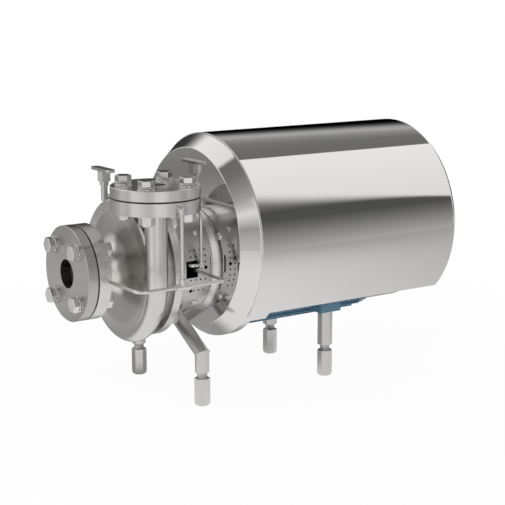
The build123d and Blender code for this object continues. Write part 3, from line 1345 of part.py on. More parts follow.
def ball_bearing(y):
    """Inner ring, outer ring and balls of a deep-groove bearing."""
    pitch = (BEARING_RADIUS + BEARING_BORE_RADIUS) / 2
    race = BALL_DIAMETER / 2 + BALL_ROOM
    with BuildPart() as bearing:
        for inner, outer in (
            (BEARING_BORE_RADIUS, pitch - RACE_GAP / 2),
            (pitch + RACE_GAP / 2, BEARING_RADIUS),
        ):
            with BuildSketch(Plane.XY):
                with Locations(((inner + outer) / 2, y + BEARING_WIDTH / 2)):
                    Rectangle(outer - inner, BEARING_WIDTH)
                with Locations((pitch, y + BEARING_WIDTH / 2)):
                    Circle(race, mode=Mode.SUBTRACT)
            revolve(axis=Axis.Y)
        with Locations(*turned_places(pitch, BEARING_BALLS, 0, y + BEARING_WIDTH / 2)):
            Sphere(BALL_DIAMETER / 2)
    return bearing.part


save(ball_bearing(front_bearing_y), "front_bearing")
save(ball_bearing(rear_bearing_y), "rear_bearing")

# Cooling fan and its cowl
with BuildPart() as cooling_fan:
    with BuildSketch(facing_front(fan_y)):
        Circle(fan_radius)
        Circle(fan_seat_radius, mode=Mode.SUBTRACT)
    extrude(amount=-FAN_DISC)
    with BuildSketch(facing_front(fan_y)):
        Circle(FAN_HUB_RADIUS)
        Circle(fan_seat_radius, mode=Mode.SUBTRACT)
    extrude(amount=-FAN_LENGTH)
    with BuildSketch(facing_front(fan_y)):
        with PolarLocations((fan_radius + FAN_HUB_RADIUS) / 2 - FIN_ROOT, FAN_BLADES):
            Rectangle(fan_radius - FAN_HUB_RADIUS, FAN_BLADE_THICKNESS)
    extrude(amount=-FAN_LENGTH)
save(cooling_fan.part, "cooling_fan")

with BuildPart() as fan_cowl:
    with BuildSketch(facing_front(cowl_y)):
        Circle(cowl_radius)
    extrude(amount=-COWL_LENGTH)
    fillet(fan_cowl.edges().sort_by(Axis.Y)[-1], COWL_ROUNDING)
    offset(amount=-COWL_SHEET, openings=fan_cowl.faces().sort_by(Axis.Y)[0])
    with BuildSketch(facing_front(cowl_back_y - COWL_SHEET)):
        with PolarLocations(COWL_SLOT_CENTRE_RADIUS, COWL_SLOTS):
            SlotOverall(COWL_SLOT_LENGTH, COWL_SLOT_WIDTH)
    extrude(amount=-COWL_SHEET, mode=Mode.SUBTRACT)
save(fan_cowl.part, "fan_cowl")

# Front legs: column, mitre, strut up to the lantern
strut_direction = (-math.cos(math.radians(STRUT_ANGLE)), 0, math.sin(math.radians(STRUT_ANGLE)))
mitre_point = (FRONT_FOOT_X, front_leg_y, MITRE_HEIGHT)
bisector = Vector(0, 0, 1) + Vector(*strut_direction)
mitre_plane = Plane(origin=mitre_point, z_dir=bisector)
strut_length = FRONT_FOOT_X / math.cos(math.radians(STRUT_ANGLE)) + FRONT_COLUMN_DIAMETER

with BuildPart() as front_column:
    with BuildSketch(Plane.XY.offset(column_bottom)):
        with Locations((FRONT_FOOT_X, front_leg_y)):
            Circle(FRONT_COLUMN_DIAMETER / 2)
    extrude(amount=MITRE_HEIGHT - column_bottom + FRONT_COLUMN_DIAMETER)
    split(bisect_by=mitre_plane, keep=Keep.BOTTOM)
    with BuildSketch(Plane.XY.offset(column_bottom)):
        with Locations((FRONT_FOOT_X, front_leg_y)):
            Circle(LEG_THREAD_DIAMETER / 2)
    extrude(amount=-LEG_THREAD_LENGTH)

with BuildPart() as front_strut:
    strut_plane = Plane(origin=mitre_point, x_dir=(0, 1, 0), z_dir=strut_direction)
    with BuildSketch(strut_plane.offset(-FRONT_COLUMN_DIAMETER)):
        Circle(FRONT_COLUMN_DIAMETER / 2)
    extrude(amount=strut_length + FRONT_COLUMN_DIAMETER)
    split(bisect_by=mitre_plane, keep=Keep.TOP)
    split(bisect_by=Plane.YZ, keep=Keep.TOP)
    with BuildSketch(facing_front(front_leg_y - FRONT_COLUMN_DIAMETER)):
        Circle(LANTERN_RADIUS)
    extrude(amount=-2 * FRONT_COLUMN_DIAMETER, mode=Mode.SUBTRACT)

with BuildPart() as front_leg_near:
    add(front_column.part)
    add(front_strut.part)
save(front_leg_near.part, "front_leg_near")
save(mirror(front_leg_near.part, about=Plane.YZ), "front_leg_far")

# Rear legs: hexagon columns below the motor
with BuildPart() as rear_leg_near:
    with BuildSketch(Plane.XY.offset(column_bottom)):
        with Locations((REAR_FOOT_X, rear_leg_y)):
            RegularPolygon(FOOT_FLATS / 2, 6, major_radius=False)
    extrude(amount=leg_boss_bottom - column_bottom)
    with BuildSketch(Plane.XY.offset(column_bottom)):
        with Locations((REAR_FOOT_X, rear_leg_y)):
            Circle(LEG_THREAD_DIAMETER / 2)
    extrude(amount=-LEG_THREAD_LENGTH)
save(rear_leg_near.part, "rear_leg_near")
save(mirror(rear_leg_near.part, about=Plane.YZ), "rear_leg_far")

# Levelling feet: hexagon sleeves on the threads
corner = FOOT_FLATS / 2 / math.cos(math.radians(30))
with BuildPart() as foot:
    with BuildSketch():
        RegularPolygon(FOOT_FLATS / 2, 6, major_radius=False)
    extrude(amount=FOOT_LENGTH)
    chamfer(foot.faces().sort_by(Axis.Z)[-1].edges(), EDGE_BREAK)
    with BuildSketch(Plane.XZ):
        with BuildLine():
            RadiusArc((corner - FOOT_ROUNDING, 0), (corner, FOOT_ROUNDING), -FOOT_ROUNDING)
            Polyline(
                (corner, FOOT_ROUNDING),
                (FOOT_FLATS, FOOT_ROUNDING),
                (FOOT_FLATS, -FOOT_ROUNDING),
                (corner - FOOT_ROUNDING, -FOOT_ROUNDING),
                (corner - FOOT_ROUNDING, 0),
            )
        make_face()
    revolve(axis=Axis.Z, mode=Mode.SUBTRACT)
    with BuildSketch(Plane.XY.offset(FOOT_LENGTH)):
        Circle(LEG_THREAD_DIAMETER / 2 + THREAD_FIT)
    extrude(amount=-FOOT_BORE_DEPTH, mode=Mode.SUBTRACT)

foot_places = {
    "foot_front_near": (FRONT_FOOT_X, front_leg_y),
    "foot_front_far": (-FRONT_FOOT_X, front_leg_y),
    "foot_rear_near": (REAR_FOOT_X, rear_leg_y),
    "foot_rear_far": (-REAR_FOOT_X, rear_leg_y),
}
for name, (x, y) in foot_places.items():
    save(foot.part.moved(Location((x, y, FLOOR))), name)


# Tubes of the flush and quench lines
def tube(points, radii):
    """Rigid tube along straight runs and tangent bends."""
    with BuildPart() as part:
        with BuildLine() as path:
            if radii:
                FilletPolyline(*points, radius=radii)
            else:
                Line(*points)
        with BuildSketch(Plane(origin=path.line @ 0, z_dir=path.line % 0)):
            Circle(TUBE_DIAMETER / 2)
            Circle(TUBE_DIAMETER / 2 - TUBE_WALL, mode=Mode.SUBTRACT)
        sweep()
    return part.part


suction_port_x = SUCTION_FLANGE_DIAMETER / 2 + PORT_LENGTH
discharge_port_x = discharge_x + DISCHARGE_FLANGE_DIAMETER / 2
save(
    tube(
        [(suction_port_x, port_y, 0), (TUBE_X, port_y, 0), (TUBE_X, volute_y - TEE_LENGTH / 2, 0)],
        [TUBE_BEND],
    ),
    "suction_flush_tube",
)
save(
    tube([(TUBE_X, volute_y, port_z - FITTING_DIAMETER / 2), (TUBE_X, volute_y, TEE_LENGTH / 2)], []),
    "discharge_flush_tube",
)
seal_port_y = cover_back_y + SEAL_COVER_FLANGE
save(
    tube(
        [
            (TUBE_X, volute_y + TEE_LENGTH / 2, 0),
            (TUBE_X, SEAL_LINE_Y, 0),
            (SEAL_PORT_X, SEAL_LINE_Y, 0),
            (SEAL_PORT_X, seal_port_y + PORT_LENGTH, 0),
        ],
        [TIGHT_BEND, TIGHT_BEND],
    ),
    "seal_flush_tube",
)
save(
    tube(
        [
            (VALVE_X, VALVE_Y + VALVE_ARM_LENGTH, QUENCH_HIGH),
            (VALVE_X, QUENCH_RISER_Y, QUENCH_HIGH),
            (QUENCH_X, QUENCH_RISER_Y, QUENCH_HIGH),
            (QUENCH_X, QUENCH_RISER_Y, QUENCH_LOW + FITTING_DIAMETER / 2),
        ],
        [TUBE_BEND, TIGHT_BEND],
    ),
    "quench_tube",
)
save(
    tube(
        [
            (QUENCH_X, QUENCH_RISER_Y - FITTING_DIAMETER / 2, QUENCH_LOW),
            (QUENCH_X, QUENCH_LINE_Y, QUENCH_LOW),
            (QUENCH_PORT_X, QUENCH_LINE_Y, QUENCH_LOW),
            (QUENCH_PORT_X, seal_port_y + PORT_LENGTH, QUENCH_LOW),
        ],
        [TIGHT_BEND, TIGHT_BEND],
    ),
    "quench_inlet_tube",
)


# Tube fittings: port connectors, tee and elbows
def connector(origin, direction):
    """Hexagon port connector with a slim collar, seated at the origin and bored through."""
    plane = Plane(origin=origin, z_dir=direction)
    with BuildPart() as part:
        with BuildSketch(plane):
            RegularPolygon(PORT_FLATS / 2, 6, major_radius=False)
        extrude(amount=PORT_HEXAGON_LENGTH)
        with BuildSketch(plane):
            Circle(PORT_COLLAR_DIAMETER / 2)
        extrude(amount=PORT_LENGTH)
        with BuildSketch(plane):
            Circle(TUBE_DIAMETER / 2 - TUBE_WALL)
        extrude(amount=PORT_LENGTH, mode=Mode.SUBTRACT)
    return part.part


def elbow(corner_point, arms):
    """Elbow or tee block: round arms that meet in a corner, bored for the tubes."""
    with BuildPart() as part:
        with Locations(corner_point):
            Sphere(FITTING_DIAMETER / 2)
        for direction, length in arms:
            with BuildSketch(Plane(origin=corner_point, z_dir=direction)):
                Circle(FITTING_DIAMETER / 2)
            extrude(amount=length)
        for direction, length in arms:
            with BuildSketch(Plane(origin=corner_point, z_dir=direction)):
                Circle(TUBE_DIAMETER / 2 - TUBE_WALL)
            extrude(amount=length, mode=Mode.SUBTRACT)
    return part.part


half = FITTING_DIAMETER / 2
pieces = [
    connector((SUCTION_FLANGE_DIAMETER / 2, port_y, 0), (1, 0, 0)),
    elbow((TUBE_X, volute_y, 0), [((0, 1, 0), TEE_LENGTH / 2), ((0, -1, 0), TEE_LENGTH / 2),
                                  ((0, 0, 1), TEE_LENGTH / 2)]),
    elbow((TUBE_X, volute_y, port_z), [((-1, 0, 0), TUBE_X - discharge_port_x), ((0, 0, -1), half)]),
    connector((SEAL_PORT_X, seal_port_y, 0), (0, 1, 0)),
    connector((QUENCH_PORT_X, seal_port_y, QUENCH_LOW), (0, 1, 0)),
    elbow((QUENCH_X, QUENCH_RISER_Y, QUENCH_LOW), [((0, 0, 1), half), ((0, -1, 0), half)]),
]
with BuildPart() as tube_fittings:
    for piece in pieces:
        add(piece)
save(tube_fittings.part, "tube_fittings")

# Quarter-turn valve: body with its outlet elbow, and the lever on its spindle
valve_top = QUENCH_HIGH + VALVE_STEM_HEIGHT + VALVE_STEP_HEIGHT + VALVE_BODY_HEIGHT
valve_plane = Plane(origin=(VALVE_X, VALVE_Y, 0), z_dir=(0, 0, 1))
with BuildPart() as valve_body:
    with BuildSketch(valve_plane.offset(QUENCH_HIGH - VALVE_STEM_FOOT)):
        Circle(VALVE_STEM_DIAMETER / 2)
    extrude(amount=VALVE_STEM_HEIGHT + VALVE_STEM_FOOT)
    with BuildSketch(valve_plane.offset(QUENCH_HIGH + VALVE_STEM_HEIGHT)):
        Circle(VALVE_STEP_DIAMETER / 2)
    extrude(amount=VALVE_STEP_HEIGHT)
    with BuildSketch(valve_plane.offset(valve_top - VALVE_BODY_HEIGHT)):
        RegularPolygon(VALVE_BODY_DIAMETER / 2, 8, major_radius=False)
    extrude(amount=VALVE_BODY_HEIGHT)
    with BuildSketch(Plane(origin=(VALVE_X, VALVE_Y, QUENCH_HIGH), z_dir=(0, 1, 0))):
        Circle(half)
    extrude(amount=VALVE_ARM_LENGTH)
    with BuildSketch(valve_plane.offset(valve_top)):
        Circle(HANDLE_SPINDLE_DIAMETER / 2 + BEARING_RUNNING_FIT)
    extrude(amount=VALVE_BORE_FLOOR - VALVE_BODY_HEIGHT, mode=Mode.SUBTRACT)
save(valve_body.part, "valve_body")

with BuildPart() as valve_handle:
    with BuildSketch(valve_plane.offset(valve_top - VALVE_BODY_HEIGHT + HANDLE_SPINDLE_FLOOR)):
        Circle(HANDLE_SPINDLE_DIAMETER / 2)
    extrude(amount=VALVE_BODY_HEIGHT - HANDLE_SPINDLE_FLOOR + HANDLE_HUB_HEIGHT)
    with BuildSketch(valve_plane.offset(valve_top + RUNNING_GAP)):
        with Locations((-HANDLE_SETBACK, 0)):
            SlotOverall(HANDLE_LENGTH, HANDLE_WIDTH)
    extrude(amount=HANDLE_THICKNESS)
save(valve_handle.part, "valve_handle")
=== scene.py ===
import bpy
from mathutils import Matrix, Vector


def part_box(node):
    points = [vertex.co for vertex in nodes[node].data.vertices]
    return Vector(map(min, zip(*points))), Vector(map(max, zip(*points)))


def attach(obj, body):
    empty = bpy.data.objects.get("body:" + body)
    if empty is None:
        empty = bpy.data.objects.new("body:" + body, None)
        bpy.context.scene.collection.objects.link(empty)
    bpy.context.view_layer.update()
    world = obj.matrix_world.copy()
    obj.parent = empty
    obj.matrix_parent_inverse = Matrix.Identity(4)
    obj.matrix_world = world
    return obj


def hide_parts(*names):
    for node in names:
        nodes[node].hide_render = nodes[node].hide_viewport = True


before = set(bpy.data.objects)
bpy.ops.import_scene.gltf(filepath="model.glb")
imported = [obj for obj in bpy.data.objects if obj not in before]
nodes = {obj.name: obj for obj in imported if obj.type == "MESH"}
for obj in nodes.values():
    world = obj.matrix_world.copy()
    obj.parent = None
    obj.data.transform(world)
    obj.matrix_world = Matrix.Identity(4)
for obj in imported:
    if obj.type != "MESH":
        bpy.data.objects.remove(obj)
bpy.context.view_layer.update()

import math
from functools import partial

import bmesh
import bpy
from bpy.props import FloatProperty, FloatVectorProperty, IntProperty, PointerProperty
from mathutils import Vector

bl_info = {
    "name": "Hooded Centrifugal Pump",
    "version": (1, 0, 0),
    "blender": (4, 5, 0),
    "location": "View3D > Sidebar > Pump",
    "description": "Finishes, polished hood, lock washers, weld seams and studio for a flanged pump",
    "category": "Object",
}

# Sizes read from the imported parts

shell_low, shell_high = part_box("hood_shell")
cap_low, cap_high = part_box("hood_front")
upper_low, upper_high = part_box("discharge_counter_flange")
gasket_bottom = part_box("discharge_gasket")[0].z
foot_low, foot_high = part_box("foot_front_near")

hood_radius = shell_high.x
hood_height = shell_high.z - hood_radius
discharge_x = (upper_low.x + upper_high.x) / 2
discharge_y = (upper_low.y + upper_high.y) / 2
discharge_top = upper_high.z
front_leg_x = (foot_low.x + foot_high.x) / 2
front_leg_y = (foot_low.y + foot_high.y) / 2
floor_height = foot_low.z

# Limits of the meshes and of their shading

SHARP_ANGLE = math.radians(33)
MERGE_DISTANCE = 1e-6
ROUNDING_STEPS = 6
SUPPORT_SHARE = 0.1
BEAD_SIDES = 8
LOBE_STEPS = 10
DISC_STEPS = 48
RIPPLE_STEPS = 6
SEAM_STEPS = 96

# Small sizes and counts

FLANGE_BOLTS = 4
FLANGE_DEPTH = 0.022
# Radius within which the lantern's finish paints shade
LANTERN_BORE = 0.0825
THREAD_SHOWN = 0.0101
THREAD_PITCH = 0.0025
THREAD_DEPTH = 0.0006
CORE_SHEET = 0.0005
PLATE_BORDER = 0.02
SHELL_ROUNDING = 0.0011
INNER_ROUNDING = 0.0002
REAR_ROUNDING = 0.009
LIP_ROUNDING = 0.0004

# Scales of brush marks along X, Y and Z: a low one draws the marks out along its axis

ALONG_SHAFT = (500.0, 25.0, 500.0)
ALONG_COLUMN = (500.0, 500.0, 30.0)
ON_LANTERN = (20.0, 20.0, 600.0)
ALONG_HOOD = (300.0, 8.0, 300.0)
EVEN_MARKS = (200.0, 200.0, 200.0)

# Colours of what hardly shows

BRIGHT_SCREW = (0.93, 0.925, 0.91)
SHAFT_STEEL = (0.54, 0.535, 0.53)
BEARING = (0.52, 0.52, 0.53)
CORE_STEEL = (0.33, 0.33, 0.34)
COPPER = (0.45, 0.20, 0.09)
BLACK_PLASTIC = (0.02, 0.02, 0.021)
CARBON = (0.03, 0.03, 0.033)
CERAMIC = (0.62, 0.60, 0.55)

# Floor as the metal mirrors it, with a painted shadow below the pump and painted shade behind it and away
# from it: each fade has a start, an end and the share of light that it takes

FLOOR_REACH = 60.0
FLOOR_WHITE = 0.98
FLOOR_MATT = 0.93
SHADE_BEHIND = (0.15, 1.2, 0.37)
SHADE_AWAY = (0.3, 1.1, 0.2)
SHADE_SHIFT = (0.14, 0.24, 0.11)
PUMP_SHADOW_EDGE = (-0.04, -0.13)
PUMP_SHADOW_DEPTH = 0.62
PUMP_SHADOW_RELIEF = (-0.45, -0.65, 0.37)
PUMP_SHADOW_END = (0.52, 0.4)
SHADOW_CENTRE = 0.3
SHADOW_FADE = (1.4, 0.5)

# Light tent: degrees turn round the hood from the near side, stations are metres along the shaft

TENT_STEPS = 60
TENT_FRONT = -1.6
TENT_BACK = 4.0
TENT_OVERLAP = 0.2
TENT_STRENGTH = 1.15
TENT_BRIGHTEST = 1.3

SOFTBOX_START = 1.01
SOFTBOX_EDGE = 49.0
SOFTBOX_SLANT = 37.5
SOFTBOX_FADE = 16.0
SOFTBOX_SHARPEN = (1.0, 1.7, 13.0)
SOFTBOX_TOP = 91.0
SOFTBOX_LEVEL = 1.08
SOFTBOX_GAIN = 0.0022
STRIP_START = 1.05
STRIP_SLANT = 12.0
STRIP_EDGE = 110.0

HOOD_SIDE = (
    (-14, 0.62), (0, 0.38), (10, 0.22), (18, 0.12), (27, 0.11), (34, 0.25), (45, 0.36), (90, 0.22),
    (105, 0.24), (117, 0.28), (126, 0.4), (133, 0.58), (139, 0.45), (144, 0.2), (149, 0.06), (156, 0.0),
    (170, 0.0), (192, 0.1),
)
MIDDLE = (
    (-14, 0.85), (2, 0.66), (16, 0.55), (40, 0.66), (85, 0.72), (105, 0.75), (130, 0.62), (146, 0.25),
    (154, 0.06), (174, 0.04), (182, 0.2), (192, 0.6),
)
PUMP_SIDE = (
    (-14, 0.76), (2, 0.62), (13, 0.47), (22, 0.8), (31, 1.1), (38, 0.8), (47, 0.55), (60, 0.4), (76, 0.25),
    (92, 0.22), (96, 1.15), (135, 1.28), (142, 0.95), (150, 0.8), (170, 0.75), (178, 0.4), (184, 0.27),
    (188, 0.42), (192, 0.7),
)
TO_MIDDLE = (0.97, 0.85)
TO_PUMP_SIDE = (0.4, 0.1)
FLAG_STATIONS = (0.72, 0.62)
FLAG_ANGLES = (5.0, 25.0)
FLAG_SHARE = 0.35
FLAG_LEVEL = 0.05
BOARD_FRONT = (-0.67, -0.6)
BOARD_BACK = (0.2, 0.0)
BOARD_ANGLES = (50.0, 38.0)
BOARD_LEVEL = 0.85
RIM_PANEL = (1.95, 2.1)
RIM_LEVEL = 0.95
REAR_FLAG = (2.7, 2.9)
REAR_LEVEL = 0.06
END_WALL = 3.99
END_WALL_LEVEL = 0.15

# Lamps and camera

LAMP_TARGET = Vector((0.0, 0.3, 0.0))
LAMPS = {
    "key_lamp": (Vector((1.7, -1.3, 2.3)), 1.6, "key_power"),
    "fill_lamp": (Vector((-1.8, 0.2, 1.9)), 1.8, "fill_power"),
}
VIEW_DEPTH = 200.0


# Shader and geometry graphs


class Wire:
    """A node's output that takes part in Python sums: each sum adds its Math node."""

    def __init__(self, graph, socket):
        self.graph = graph
        self.socket = socket

    def maths(self, operation, *values):
        return self.graph.node("ShaderNodeMath", {"operation": operation}, values)

    def __add__(self, other):
        return self.maths("ADD", self, other)

    def __radd__(self, other):
        return self.maths("ADD", other, self)

    def __sub__(self, other):
        return self.maths("SUBTRACT", self, other)

    def __rsub__(self, other):
        return self.maths("SUBTRACT", other, self)

    def __mul__(self, other):
        return self.maths("MULTIPLY", self, other)

    def __rmul__(self, other):
        return self.maths("MULTIPLY", other, self)

    def __truediv__(self, other):
        return self.maths("DIVIDE", self, other)

    def __rtruediv__(self, other):
        return self.maths("DIVIDE", other, self)

    def __pow__(self, other):
        return self.maths("POWER", self, other)

    def cosine(self):
        return self.maths("COSINE", self)

    def zigzag(self, half):
        """Straight slopes from 0 to 1 and back, each as long as a half."""
        return self.maths("PINGPONG", self, half) * (1 / half)

    def above(self, limit):
        return self.maths("GREATER_THAN", self, limit)

    def below(self, limit):
        return self.maths("LESS_THAN", self, limit)


class Graph:
    """A node tree under construction."""

    def __init__(self, tree):
        self.tree = tree

    def node(self, kind, settings=None, sockets=(), output=0):
        """Adds one node: first its settings, then its sockets by place or by name."""
        made = self.tree.nodes.new(kind)
        for name, value in (settings or {}).items():
            setattr(made, name, value)
        pairs = sockets.items() if isinstance(sockets, dict) else enumerate(sockets)
        for key, value in pairs:
            if isinstance(value, Wire):
                self.tree.links.new(value.socket, made.inputs[key])
            else:
                made.inputs[key].default_value = value
        return Wire(self, made.outputs[output]) if made.outputs else None

    def rays(self, *kinds):
        """One where a ray is of one of these kinds, otherwise nothing."""
        first, *others = [self.node("ShaderNodeLightPath", output=f"Is {kind} Ray") for kind in kinds]
        return sum(others, first)


def plain(level):
    """Opaque grey of a level, where 1 is white."""
    return (level, level, level, 1.0)


def shaded(colour, share):
    """The colour made darker or lighter by a share."""
    return tuple(min(1.0, part * share) for part in colour[:3]) + (1.0,)


class Finish(Graph):
    """One procedural material, in the object's own coordinates."""

    def __init__(self, name):
        self.material = bpy.data.materials.new(name)
        self.material.use_nodes = True
        super().__init__(self.material.node_tree)
        self.tree.nodes.clear()
        self.place = self.node("ShaderNodeTexCoord", output="Object")

    def noise(self, scale, detail=2.0, place=None, roughness=0.5):
        sockets = {"Vector": place or self.place, "Scale": scale, "Detail": detail, "Roughness": roughness}
        return self.node("ShaderNodeTexNoise", sockets=sockets)

    def marks(self, scale, detail=4.0):
        """Brush marks that a low scale draws out along its axis."""
        place = self.node("ShaderNodeMapping", sockets={"Vector": self.place, "Scale": scale})
        return self.noise(1.0, detail, place, 0.6)

    def axis(self, letter):
        return self.node("ShaderNodeSeparateXYZ", sockets=(self.place,), output=letter)

    def reach(self, first, second, centre=(0.0, 0.0)):
        """Distance to a centre, along two axes."""
        across = self.axis(first) - centre[0]
        along = self.axis(second) - centre[1]
        return (across * across + along * along) ** 0.5

    def rings(self, first, second, centre, pitch):
        """Fine turning marks round a centre."""
        sockets = {"W": self.reach(first, second, centre), "Scale": 1 / pitch, "Detail": 3.0}
        return self.node("ShaderNodeTexNoise", {"noise_dimensions": "1D"}, sockets)

    def fade(self, value, start, end, share=1.0):
        """Grows from nothing to a share while a value runs from start to end."""
        sockets = {"Value": value, "From Min": start, "From Max": end, "To Max": share}
        return self.node("ShaderNodeMapRange", {"interpolation_type": "SMOOTHSTEP"}, sockets)

    def grey(self, level):
        return self.node("ShaderNodeCombineColor", sockets=(level, level, level))

    def blend(self, share, low, high):
        return self.node("ShaderNodeMix", {"data_type": "RGBA"}, {0: share, 6: low, 7: high}, output=2)

    def toned(self, share, colour, darkest, lightest):
        return self.blend(share, shaded(colour, darkest), shaded(colour, lightest))

    def relief(self, height, depth, edge=0.0):
        """Normal from a height field, on edges that are softened by a small radius."""
        sockets = {"Height": height, "Strength": 1.0, "Distance": depth}
        if edge:
            sockets["Normal"] = self.node("ShaderNodeBevel", {"samples": 6}, {"Radius": edge})
        return self.node("ShaderNodeBump", sockets=sockets)

    def surface(self, colour, metallic, roughness, normal):
        sockets = {"Base Color": colour, "Metallic": metallic, "Roughness": roughness, "Normal": normal}
        return self.ended(self.node("ShaderNodeBsdfPrincipled", sockets=sockets))

    def glow(self, colour, strength=1.0):
        return self.node("ShaderNodeEmission", sockets={"Color": colour, "Strength": strength})

    def ended(self, shader):
        self.node("ShaderNodeOutputMaterial", sockets={"Surface": shader})
        return self.material


def satin_steel(name, colour, roughness, bore=None):
    """Blasted and ground stainless casting: cloudy tone, fine grain, soft edges, painted shade within its
    bore.
    """
    finish = Finish(name)
    cloud = finish.noise(16.0, 3.0)
    grain = finish.noise(1500.0, 2.0)
    patches = finish.noise(90.0, 4.0)
    tone = finish.toned(cloud * 0.6 + patches * 0.4, colour, 0.9, 1.1)
    if bore:
        # Painted shade: faces within the bore radius get a tenth of the colour, standing in for the unlit
        # hollow.
        painted_shade = finish.fade(finish.reach("X", "Z"), bore + 0.001, bore)
        tone = finish.blend(painted_shade, tone, shaded(colour, 0.1))
    rough = roughness - 0.08 + cloud * 0.08 + grain * 0.08
    return finish.surface(tone, 1.0, rough, finish.relief(grain, depth=0.00003, edge=0.0006))


def turned_steel(name, colour, roughness, face):
    """Machined flange: turning marks round its centre."""
    finish = Finish(name)
    marks = finish.rings(*face, pitch=0.0009)
    cloud = finish.noise(20.0, 3.0)
    tone = finish.toned(cloud * 0.7 + marks * 0.3, colour, 0.92, 1.08)
    rough = roughness - 0.07 + cloud * 0.06 + marks * 0.08
    return finish.surface(tone, 1.0, rough, finish.relief(marks, depth=0.00002, edge=0.0005))


def brushed_steel(name, colour, roughness, scale):
    """Sheet or bar with brush marks along one direction."""
    finish = Finish(name)
    marks = finish.marks(scale)
    cloud = finish.noise(25.0, 2.0)
    tone = finish.toned(marks * 0.6 + cloud * 0.4, colour, 0.9, 1.1)
    rough = roughness - 0.08 + marks * 0.1 + cloud * 0.06
    return finish.surface(tone, 1.0, rough, finish.relief(marks, depth=0.00002, edge=0.0004))


def polished_steel(name, colour, roughness, scale):
    """Mirror-polished sheet: faint polishing marks and a hint of haze."""
    finish = Finish(name)
    marks = finish.marks(scale, 3.0)
    haze = finish.noise(7.0, 3.0)
    tone = finish.toned(haze, colour, 0.97, 1.02)
    rough = roughness - 0.015 + haze * 0.02 + marks * 0.02
    return finish.surface(tone, 1.0, rough, finish.relief(marks, depth=0.0000015))


def fastener_steel(name, colour, roughness):
    """Cold-headed stainless bolts: smooth, brighter flats, rounded edges."""
    finish = Finish(name)
    dents = finish.noise(420.0, 3.0)
    cloud = finish.noise(60.0, 2.0)
    tone = finish.toned(cloud * 0.5 + dents * 0.5, colour, 0.88, 1.1)
    rough = roughness - 0.06 + dents * 0.12
    return finish.surface(tone, 1.0, rough, finish.relief(dents, depth=0.00006, edge=0.0009))


def threaded_bar(name, colour, roughness):
    """Ground bar whose lower end carries a thread."""
    finish = Finish(name)
    height = finish.axis("Z")
    thread = height.zigzag(THREAD_PITCH / 2) * height.below(foot_high.z + THREAD_SHOWN)
    marks = finish.marks(ALONG_COLUMN)
    cloud = finish.noise(30.0, 2.0)
    tone = finish.toned(marks * 0.5 + cloud * 0.5, colour, 0.9, 1.1)
    rough = roughness - 0.07 + marks * 0.1 + cloud * 0.05
    relief = finish.relief(thread * THREAD_DEPTH + marks * 0.00002, depth=1.0, edge=0.0005)
    return finish.surface(tone, 1.0, rough, relief)


def painted_metal(name, colour, roughness):
    """Sprayed enamel over cast metal: orange peel, slight fading and dust in the tone."""
    finish = Finish(name)
    peel = finish.noise(380.0, 2.0)
    fading = finish.noise(9.0, 4.0)
    dust = finish.noise(120.0, 5.0, roughness=0.7)
    tone = finish.toned(fading * 0.7 + dust * 0.3, colour, 0.82, 1.14)
    rough = roughness - 0.05 + dust * 0.1
    return finish.surface(tone, 0.0, rough, finish.relief(peel, depth=0.00012, edge=0.0008))


def moulded(name, colour, roughness, grain_size=0.0008):
    """Rubber, plastic or pressed carbon with a fine matt grain."""
    finish = Finish(name)
    grain = finish.noise(1 / grain_size, 3.0)
    cloud = finish.noise(40.0, 3.0)
    tone = finish.toned(cloud, colour, 0.75, 1.25)
    rough = roughness - 0.06 + grain * 0.12
    return finish.surface(tone, 0.0, rough, finish.relief(grain, depth=0.00004, edge=0.0003))


def laminated_steel(name, colour, roughness):
    """Stacked steel sheets seen on edge."""
    finish = Finish(name)
    lines = finish.axis("Y").zigzag(CORE_SHEET)
    cloud = finish.noise(50.0, 3.0)
    tone = finish.toned(lines * 0.6 + cloud * 0.4, colour, 0.6, 1.1)
    rough = roughness - 0.05 + cloud * 0.1
    return finish.surface(tone, 1.0, rough, finish.relief(lines, depth=0.00008))


def wound_copper(name, colour, roughness):
    """Bundled enamelled wire with ties of varnish."""
    finish = Finish(name)
    strands = finish.node(
        "ShaderNodeTexWave", {"wave_type": "RINGS", "rings_direction": "Y"},
        {"Vector": finish.place, "Scale": 160.0, "Distortion": 3.0, "Detail": 2.0}, output=1,
    )
    varnish = finish.noise(70.0, 4.0)
    tone = finish.toned(strands * 0.7 + varnish * 0.3, colour, 0.45, 1.1)
    rough = roughness - 0.05 + varnish * 0.15
    return finish.surface(tone, 0.8, rough, finish.relief(strands, depth=0.0004))


# Meshes


def rounded(corners):
    """Closed outline of (radius, station) corners, each with its own rounding.

    A point just beside each rounding keeps the long faces next to it truly flat in their shading.
    """
    outline = []
    for i, (radius, station, rounding) in enumerate(corners):
        here = Vector((radius, station))
        if rounding <= 0:
            outline.append(here)
            continue
        to_last = (Vector(corners[i - 1][:2]) - here).normalized()
        to_next = (Vector(corners[(i + 1) % len(corners)][:2]) - here).normalized()
        half = to_last.angle(to_next) / 2
        centre = here + (to_last + to_next).normalized() * (rounding / math.sin(half))
        reach = rounding / math.tan(half)
        support = reach + SUPPORT_SHARE * rounding
        first = here + to_last * reach - centre
        last = here + to_next * reach - centre
        turn = first.angle(last)
        outline.append(here + to_last * support)
        for step in range(ROUNDING_STEPS + 1):
            share = step / ROUNDING_STEPS
            arm = first * math.sin((1 - share) * turn) + last * math.sin(share * turn)
            outline.append(centre + arm / math.sin(turn))
        outline.append(here + to_next * support)
    return outline


def full_turn(steps):
    return [2 * math.pi * i / steps for i in range(steps)]


def ring_of(shape, radius, station, height, angles):
    """Points of a circle round an axis that runs along Y at a height."""
    return [
        shape.verts.new((radius * math.cos(a), station, height + radius * math.sin(a))) for a in angles
    ]


def bridge(shape, first, second, closed=True):
    """Faces between two rows of points, which meet their own start again where they are closed."""
    count = len(first)
    for i in range(count if closed else count - 1):
        after = (i + 1) % count
        shape.faces.new((first[i], first[after], second[after], second[i]))


